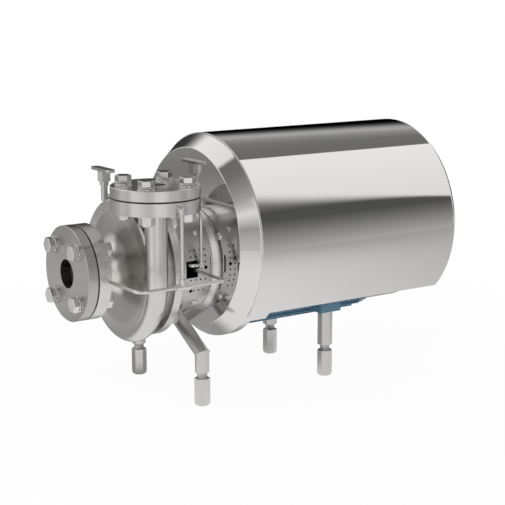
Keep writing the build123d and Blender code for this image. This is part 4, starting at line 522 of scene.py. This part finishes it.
def lathe(shape, outline, height, segments, cut=None):
    """Turns a closed outline round the hood's axis, only above a level cut if one is given."""
    rows = []
    for point in outline:
        angles = full_turn(segments)
        if cut is not None:
            start = math.asin((cut - height) / point.x)
            sweep = math.pi - 2 * start
            angles = [start + sweep * i / segments for i in range(segments + 1)]
        rows.append(ring_of(shape, point.x, point.y, height, angles))
    for last, row in zip(rows[-1:] + rows[:-1], rows):
        bridge(shape, last, row, cut is None)
    if cut is not None:
        shape.faces.new([row[0] for row in rows])
        shape.faces.new([row[-1] for row in reversed(rows)])


def round_discharge(radius, height, angles):
    """Places on a circle round the discharge, at a height."""
    return [(discharge_x + radius * math.cos(a), discharge_y + radius * math.sin(a), height) for a in angles]


def linked(name, data):
    """New object in the scene's own collection."""
    thing = bpy.data.objects.new(name, data)
    bpy.context.scene.collection.objects.link(thing)
    return thing


def add_piece(name, mesh, material, replaced=(), body="frame"):
    """Links a finished mesh as a piece that rides on its body."""
    mesh.materials.clear()
    mesh.materials.append(material)
    mesh.polygons.foreach_set("use_smooth", [True] * len(mesh.polygons))
    mesh.set_sharp_from_angle(angle=SHARP_ANGLE)
    piece = linked(name, mesh)
    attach(piece, body)
    if replaced:
        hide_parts(*replaced)


def add_polished(name, shape, replaced):
    """Closes the seams of a shape, turns its faces outwards and adds it as a polished piece."""
    bmesh.ops.remove_doubles(shape, verts=shape.verts, dist=MERGE_DISTANCE)
    bmesh.ops.recalc_face_normals(shape, faces=shape.faces)
    mesh = bpy.data.meshes.new(name)
    shape.to_mesh(mesh)
    shape.free()
    add_piece(name, mesh, bpy.data.materials["hood_mirror"], (replaced,))


class Growth(Graph):
    """A geometry tree with named inputs, which is run once and kept as a plain mesh."""

    KINDS = {int: "NodeSocketInt", float: "NodeSocketFloat", bpy.types.Material: "NodeSocketMaterial"}

    def __init__(self, name, inputs):
        super().__init__(bpy.data.node_groups.new(name, "GeometryNodeTree"))
        self.inputs = inputs
        face = self.tree.interface
        face.new_socket("Geometry", in_out="INPUT", socket_type="NodeSocketGeometry")
        for label, value in inputs.items():
            face.new_socket(label, in_out="INPUT", socket_type=self.KINDS[type(value)])
        face.new_socket("Geometry", in_out="OUTPUT", socket_type="NodeSocketGeometry")
        self.entry = self.tree.nodes.new("NodeGroupInput")

    def given(self, label):
        return Wire(self, self.entry.outputs[label])

    def joined(self, *parts):
        join = self.tree.nodes.new("GeometryNodeJoinGeometry")
        for part in parts:
            self.tree.links.new(part.socket, join.inputs[0])
        return Wire(self, join.outputs[0])

    def circle(self, steps, radius):
        return self.node("GeometryNodeCurvePrimitiveCircle", sockets={"Resolution": steps, "Radius": radius})

    def swept(self, path, section, swell=1.0):
        """Sweeps a section along a path, thicker or thinner by a swell."""
        sockets = {"Curve": path, "Profile Curve": section, "Scale": swell}
        return self.node("GeometryNodeCurveToMesh", sockets=sockets)

    def lifted(self, part, height, stretch=1.0):
        """Raises a part along its own upright axis, stretched along it."""
        place = self.node("ShaderNodeCombineXYZ", sockets=(0.0, 0.0, height))
        scale = self.node("ShaderNodeCombineXYZ", sockets=(1.0, 1.0, stretch))
        return self.node("GeometryNodeTransform", sockets={0: part, "Translation": place, "Scale": scale})

    def run(self, mesh, result):
        """Ends the tree with real geometry and its material, and runs it on a carrier mesh."""
        real = self.node("GeometryNodeRealizeInstances", sockets=(result,))
        dressed = self.node("GeometryNodeSetMaterial", sockets={0: real, "Material": self.given("Material")})
        self.node("NodeGroupOutput", sockets=(dressed,))
        carrier = linked("carrier", mesh)
        modifier = carrier.modifiers.new("growth", "NODES")
        modifier.node_group = self.tree
        for item in self.tree.interface.items_tree:
            if item.in_out == "INPUT" and item.name in self.inputs:
                modifier[item.identifier] = self.inputs[item.name]
        depsgraph = bpy.context.evaluated_depsgraph_get()
        grown = bpy.data.meshes.new_from_object(carrier.evaluated_get(depsgraph), depsgraph=depsgraph)
        bpy.data.objects.remove(carrier)
        return grown


# What a user would change

LengthProperty = partial(FloatProperty, unit="LENGTH")
AngleProperty = partial(FloatProperty, subtype="ANGLE")
ShareProperty = partial(FloatProperty, subtype="FACTOR", min=0.0, max=1.0)
ColourProperty = partial(FloatVectorProperty, subtype="COLOR", min=0.0, max=1.0)


class PumpFinishes(bpy.types.PropertyGroup):
    satin_colour: ColourProperty(
        name="Satin steel", description="Colour of the castings and flanges", default=(0.64, 0.63, 0.612),
    )
    flange_colour: ColourProperty(
        name="Suction flange", description="Colour of the suction flange", default=(0.455, 0.447, 0.434),
    )
    polish_colour: ColourProperty(
        name="Polished steel", description="Colour of the mirror-polished hood", default=(0.70, 0.69, 0.678),
    )
    guard_colour: ColourProperty(
        name="Guard steel", description="Colour of the perforated guards", default=(0.52, 0.51, 0.495),
    )
    fastener_colour: ColourProperty(
        name="Fastener steel", description="Colour of bolts, nuts and washers", default=(0.69, 0.68, 0.667),
    )
    tube_colour: ColourProperty(
        name="Tube steel", description="Colour of the flush tubes and fittings", default=(0.66, 0.645, 0.62),
    )
    leg_colour: ColourProperty(
        name="Leg steel", description="Colour of legs and feet", default=(0.60, 0.591, 0.577),
    )
    motor_colour: ColourProperty(
        name="Motor paint", description="Colour of the painted motor", default=(0.13, 0.285, 0.41),
    )
    cowl_colour: ColourProperty(
        name="Cowl paint", description="Colour of the painted fan cowl", default=(0.30, 0.32, 0.33),
    )
    gasket_colour: ColourProperty(
        name="Gasket", description="Colour of gaskets and seals", default=(0.012, 0.012, 0.012),
    )
    satin_roughness: ShareProperty(name="Satin roughness", description="Haze of the castings", default=0.27)
    polish_roughness: ShareProperty(name="Polish roughness", description="Haze of the hood", default=0.045)


class HoodSizes(bpy.types.PropertyGroup):
    plate_radius: LengthProperty(name="Plate radius", description="Radius of the flat front", default=0.1604)
    cone_length: LengthProperty(name="Cone length", description="Length of the cone", default=0.0292)
    full_length: LengthProperty(name="Full length", description="Depth of the full circle", default=0.0465)
    skirt_cut: LengthProperty(name="Skirt level", description="Height of the skirt's end", default=-0.099)
    sheet: LengthProperty(name="Sheet", description="Thickness of the hood's sheet", default=0.0015)
    plate_hole: LengthProperty(name="Shaft hole", description="Radius of the spigot's hole", default=0.0622)
    plate_rounding: LengthProperty(name="Plate edge", description="Rounding beside the cone", default=0.0025)
    cone_rounding: LengthProperty(name="Cone edge", description="Rounding beside the skirt", default=0.004)
    lip: LengthProperty(name="Rear lip", description="Reach of the inward lip at the rear", default=0.011)
    segments: IntProperty(name="Segments", description="Steps round the hood", default=288, min=48, max=720)


class LockWasherSizes(bpy.types.PropertyGroup):
    lobes: IntProperty(name="Lobes", description="Locking lobes on each washer", default=8, min=4, max=24)
    circle_radius: LengthProperty(name="Lobe circle", description="Radius through the lobes", default=0.0126)
    lobe_radius: LengthProperty(name="Lobe radius", description="Radius of one lobe", default=0.0021)
    lobe_swell: ShareProperty(name="Lobe swell", description="How much a lobe swells", default=0.22)
    disc_radius: LengthProperty(name="Disc radius", description="Radius of the flat disc", default=0.015)
    bore_radius: LengthProperty(name="Bore radius", description="Radius of the bolt hole", default=0.0085)
    disc_thickness: LengthProperty(name="Disc thickness", description="Thickness of the disc", default=0.002)
    height: LengthProperty(name="Height", description="Height of the whole washer", default=0.005)
    suction_circle: LengthProperty(
        name="Suction bolt circle", description="Diameter of the suction bolt circle", default=0.125,
    )
    discharge_circle: LengthProperty(
        name="Discharge bolt circle", description="Diameter of the discharge bolt circle", default=0.110,
    )


class WeldSizes(bpy.types.PropertyGroup):
    bead_radius: LengthProperty(name="Bead radius", description="Radius of a weld bead", default=0.0012)
    ripple_pitch: LengthProperty(name="Ripple pitch", description="Length of one ripple", default=0.0016)
    ripple_depth: ShareProperty(name="Ripple depth", description="How much a ripple swells", default=0.18)
    neck_radius: LengthProperty(name="Neck radius", description="Radius of the upper neck", default=0.019)
    leg_radius: LengthProperty(name="Leg radius", description="Radius of the front legs", default=0.0125)
    strut_angle: AngleProperty(name="Strut angle", description="Rise of the struts", default=math.pi / 6)
    mitre_height: LengthProperty(name="Mitre height", description="Height of the leg mitre", default=-0.1446)
    lantern_radius: LengthProperty(name="Lantern radius", description="Radius at the struts", default=0.09)


class StageSettings(bpy.types.PropertyGroup):
    camera_place: FloatVectorProperty(
        name="Camera", description="Place of the camera", subtype="TRANSLATION",
        default=(1.91375, -0.91471, 0.47060),
    )
    camera_turn: AngleProperty(name="Camera turn", description="Turn round the vertical", default=0.97605)
    camera_drop: AngleProperty(name="Camera drop", description="How far it looks down", default=0.20387)
    lens: FloatProperty(name="Lens", description="Focal length", unit="CAMERA", default=90.475)
    key_power: FloatProperty(name="Key light", description="Power of the lamp", unit="POWER", default=34.0)
    fill_power: FloatProperty(name="Fill light", description="Power of the lamp", unit="POWER", default=16.0)
    daylight: FloatProperty(name="Daylight", description="Strength of light all round", default=0.55)
    tent_radius: LengthProperty(name="Tent radius", description="Radius of the light tent", default=1.25)
    shadow: ShareProperty(name="Shadow", description="Share of the floor's own shading", default=0.05)


# Operators


class PUMP_OT_finish_parts(bpy.types.Operator):
    """Gives each machined part its metal, paint, rubber or carbon"""

    bl_idname = "pump.finish_parts"
    bl_label = "Finish Machined Parts"

    def execute(self, context):
        look = context.scene.pump_finishes
        steel = look.satin_colour
        satin = look.satin_roughness
        suction = ("X", "Z", (0.0, 0.0))
        discharge = ("X", "Y", (discharge_x, discharge_y))
        finishes = {
            satin_steel("casting_satin", steel, satin): ("casing", "casing_cover"),
            # The lantern's finish paints shade within its bore
            satin_steel("lantern_satin", steel, satin, LANTERN_BORE): ("lantern",),
            turned_steel("suction_flange_turned", look.flange_colour, satin, suction): (
                "suction_counter_flange",
            ),
            turned_steel("discharge_flange_turned", steel, satin, discharge): ("discharge_counter_flange",),
            turned_steel("seal_housing_turned", steel, satin, suction): ("seal_cover", "shaft_clamp"),
            fastener_steel("fastener_bright", look.fastener_colour, roughness=0.2): (
                "flange_bolts", "flange_washers", "lock_washers", "flange_nuts", "cover_studs", "cover_nuts",
                "lantern_bolts", "hood_screws", "seal_cover_screws",
            ),
            fastener_steel("screw_bright", BRIGHT_SCREW, roughness=0.35): ("guard_screws",),
            polished_steel("hood_mirror", look.polish_colour, look.polish_roughness, ALONG_HOOD): (
                "hood_front", "hood_shell",
            ),
            brushed_steel("guard_brushed", look.guard_colour, 0.36, ON_LANTERN): ("guard_near", "guard_far"),
            moulded("gasket_rubber", look.gasket_colour, roughness=0.6): (
                "suction_gasket", "discharge_gasket", "casing_o_ring",
            ),
            painted_metal("motor_enamel", look.motor_colour, roughness=0.4): (
                "motor_front_shield", "motor_housing", "motor_rear_shield", "terminal_box", "terminal_lid",
            ),
            painted_metal("cowl_enamel", look.cowl_colour, roughness=0.42): ("fan_cowl",),
            moulded("fan_plastic", BLACK_PLASTIC, roughness=0.5, grain_size=0.0012): (
                "cooling_fan", "cable_gland",
            ),
            laminated_steel("core_laminated", CORE_STEEL, roughness=0.42): ("stator_core", "rotor"),
            wound_copper("winding_copper", COPPER, roughness=0.4): ("stator_windings",),
            fastener_steel("bearing_ground", BEARING, roughness=0.2): ("front_bearing", "rear_bearing"),
            brushed_steel("shaft_ground", SHAFT_STEEL, 0.24, ALONG_SHAFT): (
                "pump_shaft", "motor_shaft", "seal_spring",
            ),
            satin_steel("impeller_cast", steel, satin - 0.04): ("impeller", "impeller_nut"),
            moulded("seal_carbon", CARBON, roughness=0.35): ("seal_rotating_ring",),
            moulded("seal_ceramic", CERAMIC, roughness=0.3): ("seal_fixed_ring",),
            threaded_bar("leg_ground", look.leg_colour, roughness=0.33): (
                "front_leg_near", "front_leg_far", "rear_leg_near", "rear_leg_far",
            ),
            brushed_steel("foot_turned", look.leg_colour, 0.3, ALONG_COLUMN): (
                "foot_front_near", "foot_front_far", "foot_rear_near", "foot_rear_far",
            ),
            brushed_steel("tube_bright", look.tube_colour, 0.22, EVEN_MARKS): (
                "suction_flush_tube", "discharge_flush_tube", "seal_flush_tube", "quench_tube",
                "quench_inlet_tube", "tube_fittings",
            ),
            satin_steel("valve_satin", steel, roughness=0.3): ("valve_body", "valve_handle"),
        }
        for material, names in finishes.items():
            for name in names:
                for slot in nodes[name].material_slots:
                    slot.material = material
        bare = set(nodes).difference(*finishes.values())
        if bare:
            raise RuntimeError(f"parts with no finish: {sorted(bare)}")
        return {"FINISHED"}


class PUMP_OT_add_hood_cap(bpy.types.Operator):
    """Spins the polished front cap of the hood with its rounded edges"""

    bl_idname = "pump.add_hood_cap"
    bl_label = "Add Hood Cap"

    def execute(self, context):
        sizes = context.scene.pump_hood
        radius = cap_high.x
        inner = radius - sizes.sheet
        front = cap_low.y
        plate_back = front + sizes.sheet
        cone_end = front + sizes.cone_length
        full_end = front + sizes.full_length
        slope = math.atan2(radius - sizes.plate_radius, sizes.cone_length)
        inner_plate = sizes.plate_radius - sizes.sheet * math.tan((math.pi / 2 - slope) / 2)
        inner_cone = cone_end + sizes.sheet * math.tan(slope / 2)
        flat = sizes.plate_radius - PLATE_BORDER
        shape = bmesh.new()
        lathe(shape, rounded([
            (flat, front, 0.0),
            (sizes.plate_radius, front, sizes.plate_rounding),
            (radius, cone_end, sizes.cone_rounding),
            (radius, full_end, 0.0),
            (inner, full_end, 0.0),
            (inner, inner_cone, sizes.cone_rounding - sizes.sheet),
            (inner_plate, plate_back, sizes.plate_rounding - sizes.sheet / 2),
            (flat, plate_back, 0.0),
        ]), hood_height, sizes.segments)
        lathe(shape, rounded([
            (radius, full_end, 0.0),
            (radius, cap_high.y, 0.0),
            (inner, cap_high.y, 0.0),
            (inner, full_end, 0.0),
        ]), hood_height, sizes.segments, sizes.skirt_cut)
        turns = full_turn(sizes.segments)
        outer_front, hole_front, outer_back, hole_back = [
            ring_of(shape, reach, station, height, turns)
            for station in (front, plate_back)
            for reach, height in ((flat, hood_height), (sizes.plate_hole, 0.0))
        ]
        bridge(shape, outer_front, hole_front)
        bridge(shape, hole_front, hole_back)
        bridge(shape, hole_back, outer_back)
        add_polished("hood_cap_polished", shape, "hood_front")
        return {"FINISHED"}


class PUMP_OT_add_hood_shell(bpy.types.Operator):
    """Spins the long polished shell of the hood, open below, with its rolled rear lip"""

    bl_idname = "pump.add_hood_shell"
    bl_label = "Add Hood Shell"

    def execute(self, context):
        sizes = context.scene.pump_hood
        front = shell_low.y
        back = shell_high.y
        inner = hood_radius - sizes.sheet
        lip_end = hood_radius - sizes.lip
        shape = bmesh.new()
        lathe(shape, rounded([
            (hood_radius, front, SHELL_ROUNDING),
            (hood_radius, back, REAR_ROUNDING),
            (lip_end, back, LIP_ROUNDING),
            (lip_end, back - sizes.sheet, LIP_ROUNDING),
            (inner, back - sizes.sheet, REAR_ROUNDING - sizes.sheet),
            (inner, front, INNER_ROUNDING),
        ]), hood_height, sizes.segments, shell_low.z)
        add_polished("hood_shell_polished", shape, "hood_shell")
        return {"FINISHED"}


class PUMP_OT_add_lock_washers(bpy.types.Operator):
    """Grows a lobed lock washer under each flange bolt head"""

    bl_idname = "pump.add_lock_washers"
    bl_label = "Add Lock Washers"

    def execute(self, context):
        sizes = context.scene.pump_lock_washers
        material = bpy.data.materials["fastener_bright"]
        growth = Growth("lock_washer_growth", {
            "Lobes": sizes.lobes,
            "Lobe Circle": sizes.circle_radius,
            "Lobe Radius": sizes.lobe_radius,
            "Lobe Swell": sizes.lobe_swell,
            "Disc Radius": sizes.disc_radius,
            "Bore Radius": sizes.bore_radius,
            "Disc Thickness": sizes.disc_thickness,
            "Height": sizes.height,
            "Material": material,
        })
        washer = growth.joined(self.crest(growth), self.disc(growth))
        direction = growth.node(
            "GeometryNodeInputNamedAttribute", {"data_type": "FLOAT_VECTOR"}, {"Name": "facing"},
        )
        turn = growth.node("FunctionNodeAlignRotationToVector", {"axis": "Z"}, {"Vector": direction})
        washers = growth.node(
            "GeometryNodeInstanceOnPoints",
            sockets={"Points": growth.given("Geometry"), "Instance": washer, "Rotation": turn},
        )
        mesh = growth.run(self.seats(sizes), washers)
        add_piece("lock_washers_lobed", mesh, material, ("lock_washers",))
        return {"FINISHED"}

    def seats(self, sizes):
        """Mesh of one point under each bolt head, with the direction that the washer faces."""
        angles = [math.pi * (2 * i + 1) / FLANGE_BOLTS for i in range(FLANGE_BOLTS)]
        reach = sizes.suction_circle / 2
        places = [(reach * math.cos(a), 0.0, reach * math.sin(a)) for a in angles]
        places += round_discharge(sizes.discharge_circle / 2, discharge_top, angles)
        facings = [(0.0, -1.0, 0.0)] * FLANGE_BOLTS + [(0.0, 0.0, 1.0)] * FLANGE_BOLTS
        mesh = bpy.data.meshes.new("washer_seats")
        mesh.from_pydata(places, [], [])
        attribute = mesh.attributes.new("facing", "FLOAT_VECTOR", "POINT")
        for item, direction in zip(attribute.data, facings):
            item.vector = direction
        return mesh

    def crest(self, growth):
        """Ring on top of the disc that swells at each lobe."""
        lobes = growth.given("Lobes")
        radius = growth.given("Lobe Radius")
        depth = growth.given("Lobe Swell")
        thickness = growth.given("Disc Thickness")
        crown = growth.given("Height") - thickness
        share = growth.node("GeometryNodeSplineParameter")
        swell = 1.0 - depth + (share * lobes * (2 * math.pi)).cosine() * depth
        loop = growth.circle(lobes * LOBE_STEPS, growth.given("Lobe Circle"))
        ring = growth.swept(loop, growth.circle(BEAD_SIDES, radius), swell)
        return growth.lifted(ring, thickness + crown / 2, crown / (radius * 2))

    def disc(self, growth):
        """Flat disc with the bolt hole."""
        outer = growth.given("Disc Radius")
        bore = growth.given("Bore Radius")
        thickness = growth.given("Disc Thickness")
        band = growth.node(
            "GeometryNodeCurvePrimitiveQuadrilateral", sockets={"Width": outer - bore, "Height": thickness},
        )
        middle = growth.circle(DISC_STEPS, (outer + bore) * 0.5)
        return growth.lifted(growth.swept(middle, band), thickness * 0.5)


class PUMP_OT_add_welds(bpy.types.Operator):
    """Grows rippled weld beads round the discharge neck and along the joints of the front legs"""

    bl_idname = "pump.add_welds"
    bl_label = "Add Weld Beads"

    def execute(self, context):
        sizes = context.scene.pump_welds
        turns = full_turn(SEAM_STEPS)
        seams = [round_discharge(sizes.neck_radius, gasket_bottom - FLANGE_DEPTH, turns)]
        for seam in self.leg_seams(sizes, turns):
            seams.append([tuple(point) for point in seam])
            seams.append([(-point.x, point.y, point.z) for point in seam])
        points = [point for seam in seams for point in seam]
        edges = []
        for first in range(0, len(points), SEAM_STEPS):
            loop = range(first, first + SEAM_STEPS)
            edges += list(zip(loop, [*loop[1:], first]))
        paths = bpy.data.meshes.new("weld_paths")
        paths.from_pydata(points, edges, [])
        material = satin_steel("weld_bead", context.scene.pump_finishes.satin_colour, roughness=0.3)
        growth = Growth("weld_growth", {
            "Bead Radius": sizes.bead_radius,
            "Ripple Pitch": sizes.ripple_pitch,
            "Ripple Depth": sizes.ripple_depth,
            "Material": material,
        })
        pitch = growth.given("Ripple Pitch")
        curves = growth.node("GeometryNodeMeshToCurve", sockets=(growth.given("Geometry"),))
        fine = growth.node(
            "GeometryNodeResampleCurve", {"mode": "LENGTH"},
            {"Curve": curves, "Length": pitch / RIPPLE_STEPS},
        )
        length = growth.node("GeometryNodeSplineParameter", output="Length")
        swell = 1.0 + (length / pitch * (2 * math.pi)).cosine() * growth.given("Ripple Depth")
        bead = growth.swept(fine, growth.circle(BEAD_SIDES, growth.given("Bead Radius")), swell)
        add_piece("weld_beads", growth.run(paths, bead), material)
        return {"FINISHED"}

    def leg_seams(self, sizes, turns):
        """Loops at the near front leg: round its mitre, and where its strut meets the lantern."""
        radius = sizes.leg_radius
        upright = Vector((0.0, 0.0, 1.0))
        along = Vector((0.0, 1.0, 0.0))
        rise = Vector((-math.cos(sizes.strut_angle), 0.0, math.sin(sizes.strut_angle)))
        across = Vector((math.sin(sizes.strut_angle), 0.0, math.cos(sizes.strut_angle)))
        mitre = Vector((front_leg_x, front_leg_y, sizes.mitre_height))
        bend = (upright - rise).normalized()
        stretch = 1 / abs((upright + rise).normalized().z)
        mitre_seam = []
        lantern_seam = []
        for a in turns:
            side = along * (radius * math.cos(a))
            mitre_seam.append(mitre + side + bend * (radius * stretch * math.sin(a)))
            start = mitre + side + across * (radius * math.sin(a))
            reach = start.x * rise.x + start.z * rise.z
            gap = start.x ** 2 + start.z ** 2 - sizes.lantern_radius ** 2
            lantern_seam.append(start + rise * (-reach - math.sqrt(reach ** 2 - gap)))
        return mitre_seam, lantern_seam


class PUMP_OT_set_stage(bpy.types.Operator):
    """Sets the floor, the light tent, the lamps, the world and the camera"""

    bl_idname = "pump.set_stage"
    bl_label = "Set Stage"

    def execute(self, context):
        stage = context.scene.pump_stage
        self.floor(stage)
        self.tent(stage)
        self.lamps(stage)
        self.world(context.scene, stage)
        self.camera(context.scene, stage)
        return {"FINISHED"}

    def floor(self, stage):
        """White ground, which the metal mirrors with a painted shadow below the pump and painted shade
        behind it and away from it.
        """
        signs = [(-1, -1), (1, -1), (1, 1), (-1, 1)]
        corners = [(x * FLOOR_REACH, y * FLOOR_REACH, floor_height) for x, y in signs]
        mesh = bpy.data.meshes.new("floor")
        mesh.from_pydata(corners, [], [(0, 1, 2, 3)])
        finish = Finish("floor_white")
        x, y = finish.axis("X"), finish.axis("Y")
        # Painted shadow of the pump: the mirrored level of the floor drops below the pump, its edge shifting
        # along Y.
        beside = x - finish.fade(y, *SHADE_SHIFT)
        depth = PUMP_SHADOW_DEPTH - finish.fade(beside, *PUMP_SHADOW_RELIEF)
        under = finish.fade(beside, *PUMP_SHADOW_EDGE) * depth * finish.fade(y, *PUMP_SHADOW_END)
        # Painted shade: the mirrored floor grows darker away from the pump and behind it.
        away = finish.fade(x, *SHADE_AWAY)
        level = (FLOOR_WHITE - finish.fade(y, *SHADE_BEHIND)) * (1.0 - away) * (1.0 - under)
        mirrored = finish.rays("Glossy", "Transmission")
        glow = finish.glow(finish.blend(mirrored, plain(1.0), finish.grey(level)))
        distance = finish.reach("X", "Y", (0.0, SHADOW_CENTRE))
        seen = (finish.rays("Camera") + mirrored) * (1.0 - finish.fade(distance, *SHADOW_FADE, stage.shadow))
        matt = finish.node("ShaderNodeBsdfDiffuse", sockets={"Color": plain(FLOOR_MATT)})
        mesh.materials.append(finish.ended(finish.node("ShaderNodeMixShader", sockets=(seen, matt, glow))))
        linked("floor", mesh)

    def tent(self, stage):
        """Arch of soft panels and dark flags that only the metal sees."""
        low = math.degrees(math.asin((hood_height - floor_height) / stage.tent_radius)) - TENT_OVERLAP
        points = []
        faces = []
        for i in range(TENT_STEPS + 1):
            a = math.radians(-low + (180 + 2 * low) * i / TENT_STEPS)
            x = stage.tent_radius * math.cos(a)
            z = hood_height + stage.tent_radius * math.sin(a)
            points += [(x, TENT_FRONT, z), (x, TENT_BACK, z)]
            if i:
                faces.append((2 * i - 2, 2 * i - 1, 2 * i + 1, 2 * i))
        faces.append(tuple(range(1, len(points), 2)))
        mesh = bpy.data.meshes.new("light_tent")
        mesh.from_pydata(points, [], faces)
        mesh.materials.append(self.tent_panels())
        tent = linked("light_tent", mesh)
        for rays in ("camera", "diffuse", "transmission", "volume_scatter", "shadow"):
            setattr(tent, f"visible_{rays}", False)

    def tent_panels(self):
        """Light of the tent, from the levels round it and the zones along it."""
        finish = Finish("tent_panels")
        up = finish.axis("Z") - hood_height
        angle = up.maths("ARCTAN2", up, finish.axis("X"))
        turn = angle.maths("WRAP", angle, 1.5 * math.pi, -0.5 * math.pi) * (180 / math.pi)
        station = finish.axis("Y")

        def panels(angle, levels):
            light = finish.node("ShaderNodeValToRGB", sockets=((angle + 90.0) / 360.0,))
            stops = light.socket.node.color_ramp.elements
            while len(stops) < len(levels):
                stops.new(0.5)
            for stop, (degrees, level) in zip(stops, levels):
                stop.position = (degrees + 90) / 360
                stop.color = plain(level / TENT_BRIGHTEST)
            return light

        edge = SOFTBOX_EDGE - (station - SOFTBOX_START) * SOFTBOX_SLANT
        edge_start = edge - SOFTBOX_FADE + finish.fade(station, *SOFTBOX_SHARPEN)
        softbox = finish.fade(turn, edge_start, edge) * turn.below(SOFTBOX_TOP)
        soft_level = (SOFTBOX_LEVEL + turn * SOFTBOX_GAIN) / TENT_BRIGHTEST
        slanted = turn + (station - STRIP_START) * STRIP_SLANT * turn.above(STRIP_EDGE)
        flag = finish.fade(station, *FLAG_STATIONS) * finish.fade(turn, *FLAG_ANGLES, FLAG_SHARE)
        board = finish.fade(station, *BOARD_FRONT) * finish.fade(station, *BOARD_BACK)
        zones = (
            (softbox, finish.grey(soft_level)),
            (finish.fade(station, *TO_MIDDLE), panels(turn, MIDDLE)),
            (flag, plain(FLAG_LEVEL)),
            (finish.fade(station, *TO_PUMP_SIDE), panels(turn, PUMP_SIDE)),
            (board * finish.fade(turn, *BOARD_ANGLES), plain(BOARD_LEVEL)),
            (finish.fade(station, *RIM_PANEL), plain(RIM_LEVEL)),
            (finish.fade(station, *REAR_FLAG), plain(REAR_LEVEL)),
            (station.above(END_WALL), plain(END_WALL_LEVEL)),
        )
        light = panels(slanted, HOOD_SIDE)
        for share, level in zones:
            light = finish.blend(share, light, level)
        return finish.ended(finish.glow(light, TENT_STRENGTH))

    def lamps(self, stage):
        for name, (place, size, power) in LAMPS.items():
            data = bpy.data.lights.new(name, "AREA")
            data.energy = getattr(stage, power)
            data.size = size
            lamp = linked(name, data)
            lamp.location = place
            lamp.rotation_euler = (LAMP_TARGET - place).to_track_quat("-Z", "Y").to_euler()
            lamp.visible_glossy = False

    def world(self, scene, stage):
        """Plain daylight, which the camera and the metal see as white."""
        world = bpy.data.worlds.new("studio")
        world.use_nodes = True
        graph = Graph(world.node_tree)
        graph.tree.nodes.clear()
        strength = stage.daylight + graph.rays("Camera", "Glossy", "Transmission") * (1 - stage.daylight)
        sky = graph.node("ShaderNodeBackground", sockets={"Color": plain(1.0), "Strength": strength})
        graph.node("ShaderNodeOutputWorld", sockets={"Surface": sky})
        scene.world = world

    def camera(self, scene, stage):
        data = bpy.data.cameras.new("studio_camera")
        data.lens = stage.lens
        data.clip_end = VIEW_DEPTH
        camera = linked("studio_camera", data)
        camera.location = stage.camera_place
        camera.rotation_euler = (math.pi / 2 - stage.camera_drop, 0.0, stage.camera_turn)
        scene.camera = camera
        scene.view_settings.view_transform = "Standard"


class PUMP_PT_sidebar(bpy.types.Panel):
    """Lists the pump's finishes, pieces and stage"""

    bl_idname = "PUMP_PT_sidebar"
    bl_label = "Centrifugal Pump"
    bl_space_type = "VIEW_3D"
    bl_region_type = "UI"
    bl_category = "Pump"

    def draw(self, context):
        for name, group, operators in SECTIONS:
            box = self.layout.box()
            for label in group.__annotations__:
                box.prop(getattr(context.scene, name), label)
            for operator in operators:
                box.operator(operator.bl_idname)


SECTIONS = (
    ("pump_finishes", PumpFinishes, (PUMP_OT_finish_parts,)),
    ("pump_hood", HoodSizes, (PUMP_OT_add_hood_cap, PUMP_OT_add_hood_shell)),
    ("pump_lock_washers", LockWasherSizes, (PUMP_OT_add_lock_washers,)),
    ("pump_welds", WeldSizes, (PUMP_OT_add_welds,)),
    ("pump_stage", StageSettings, (PUMP_OT_set_stage,)),
)


def register():
    for name, group, operators in SECTIONS:
        for kind in (group, *operators):
            bpy.utils.register_class(kind)
        setattr(bpy.types.Scene, name, PointerProperty(type=group))
    bpy.utils.register_class(PUMP_PT_sidebar)


def unregister():
    bpy.utils.unregister_class(PUMP_PT_sidebar)
    for name, group, operators in reversed(SECTIONS):
        delattr(bpy.types.Scene, name)
        for kind in (*operators, group):
            bpy.utils.unregister_class(kind)


def main():
    register()
    bpy.ops.pump.finish_parts()
    bpy.ops.pump.add_hood_cap()
    bpy.ops.pump.add_hood_shell()
    bpy.ops.pump.add_lock_washers()
    bpy.ops.pump.add_welds()
    bpy.ops.pump.set_stage()


if __name__ == "__main__":
    main()
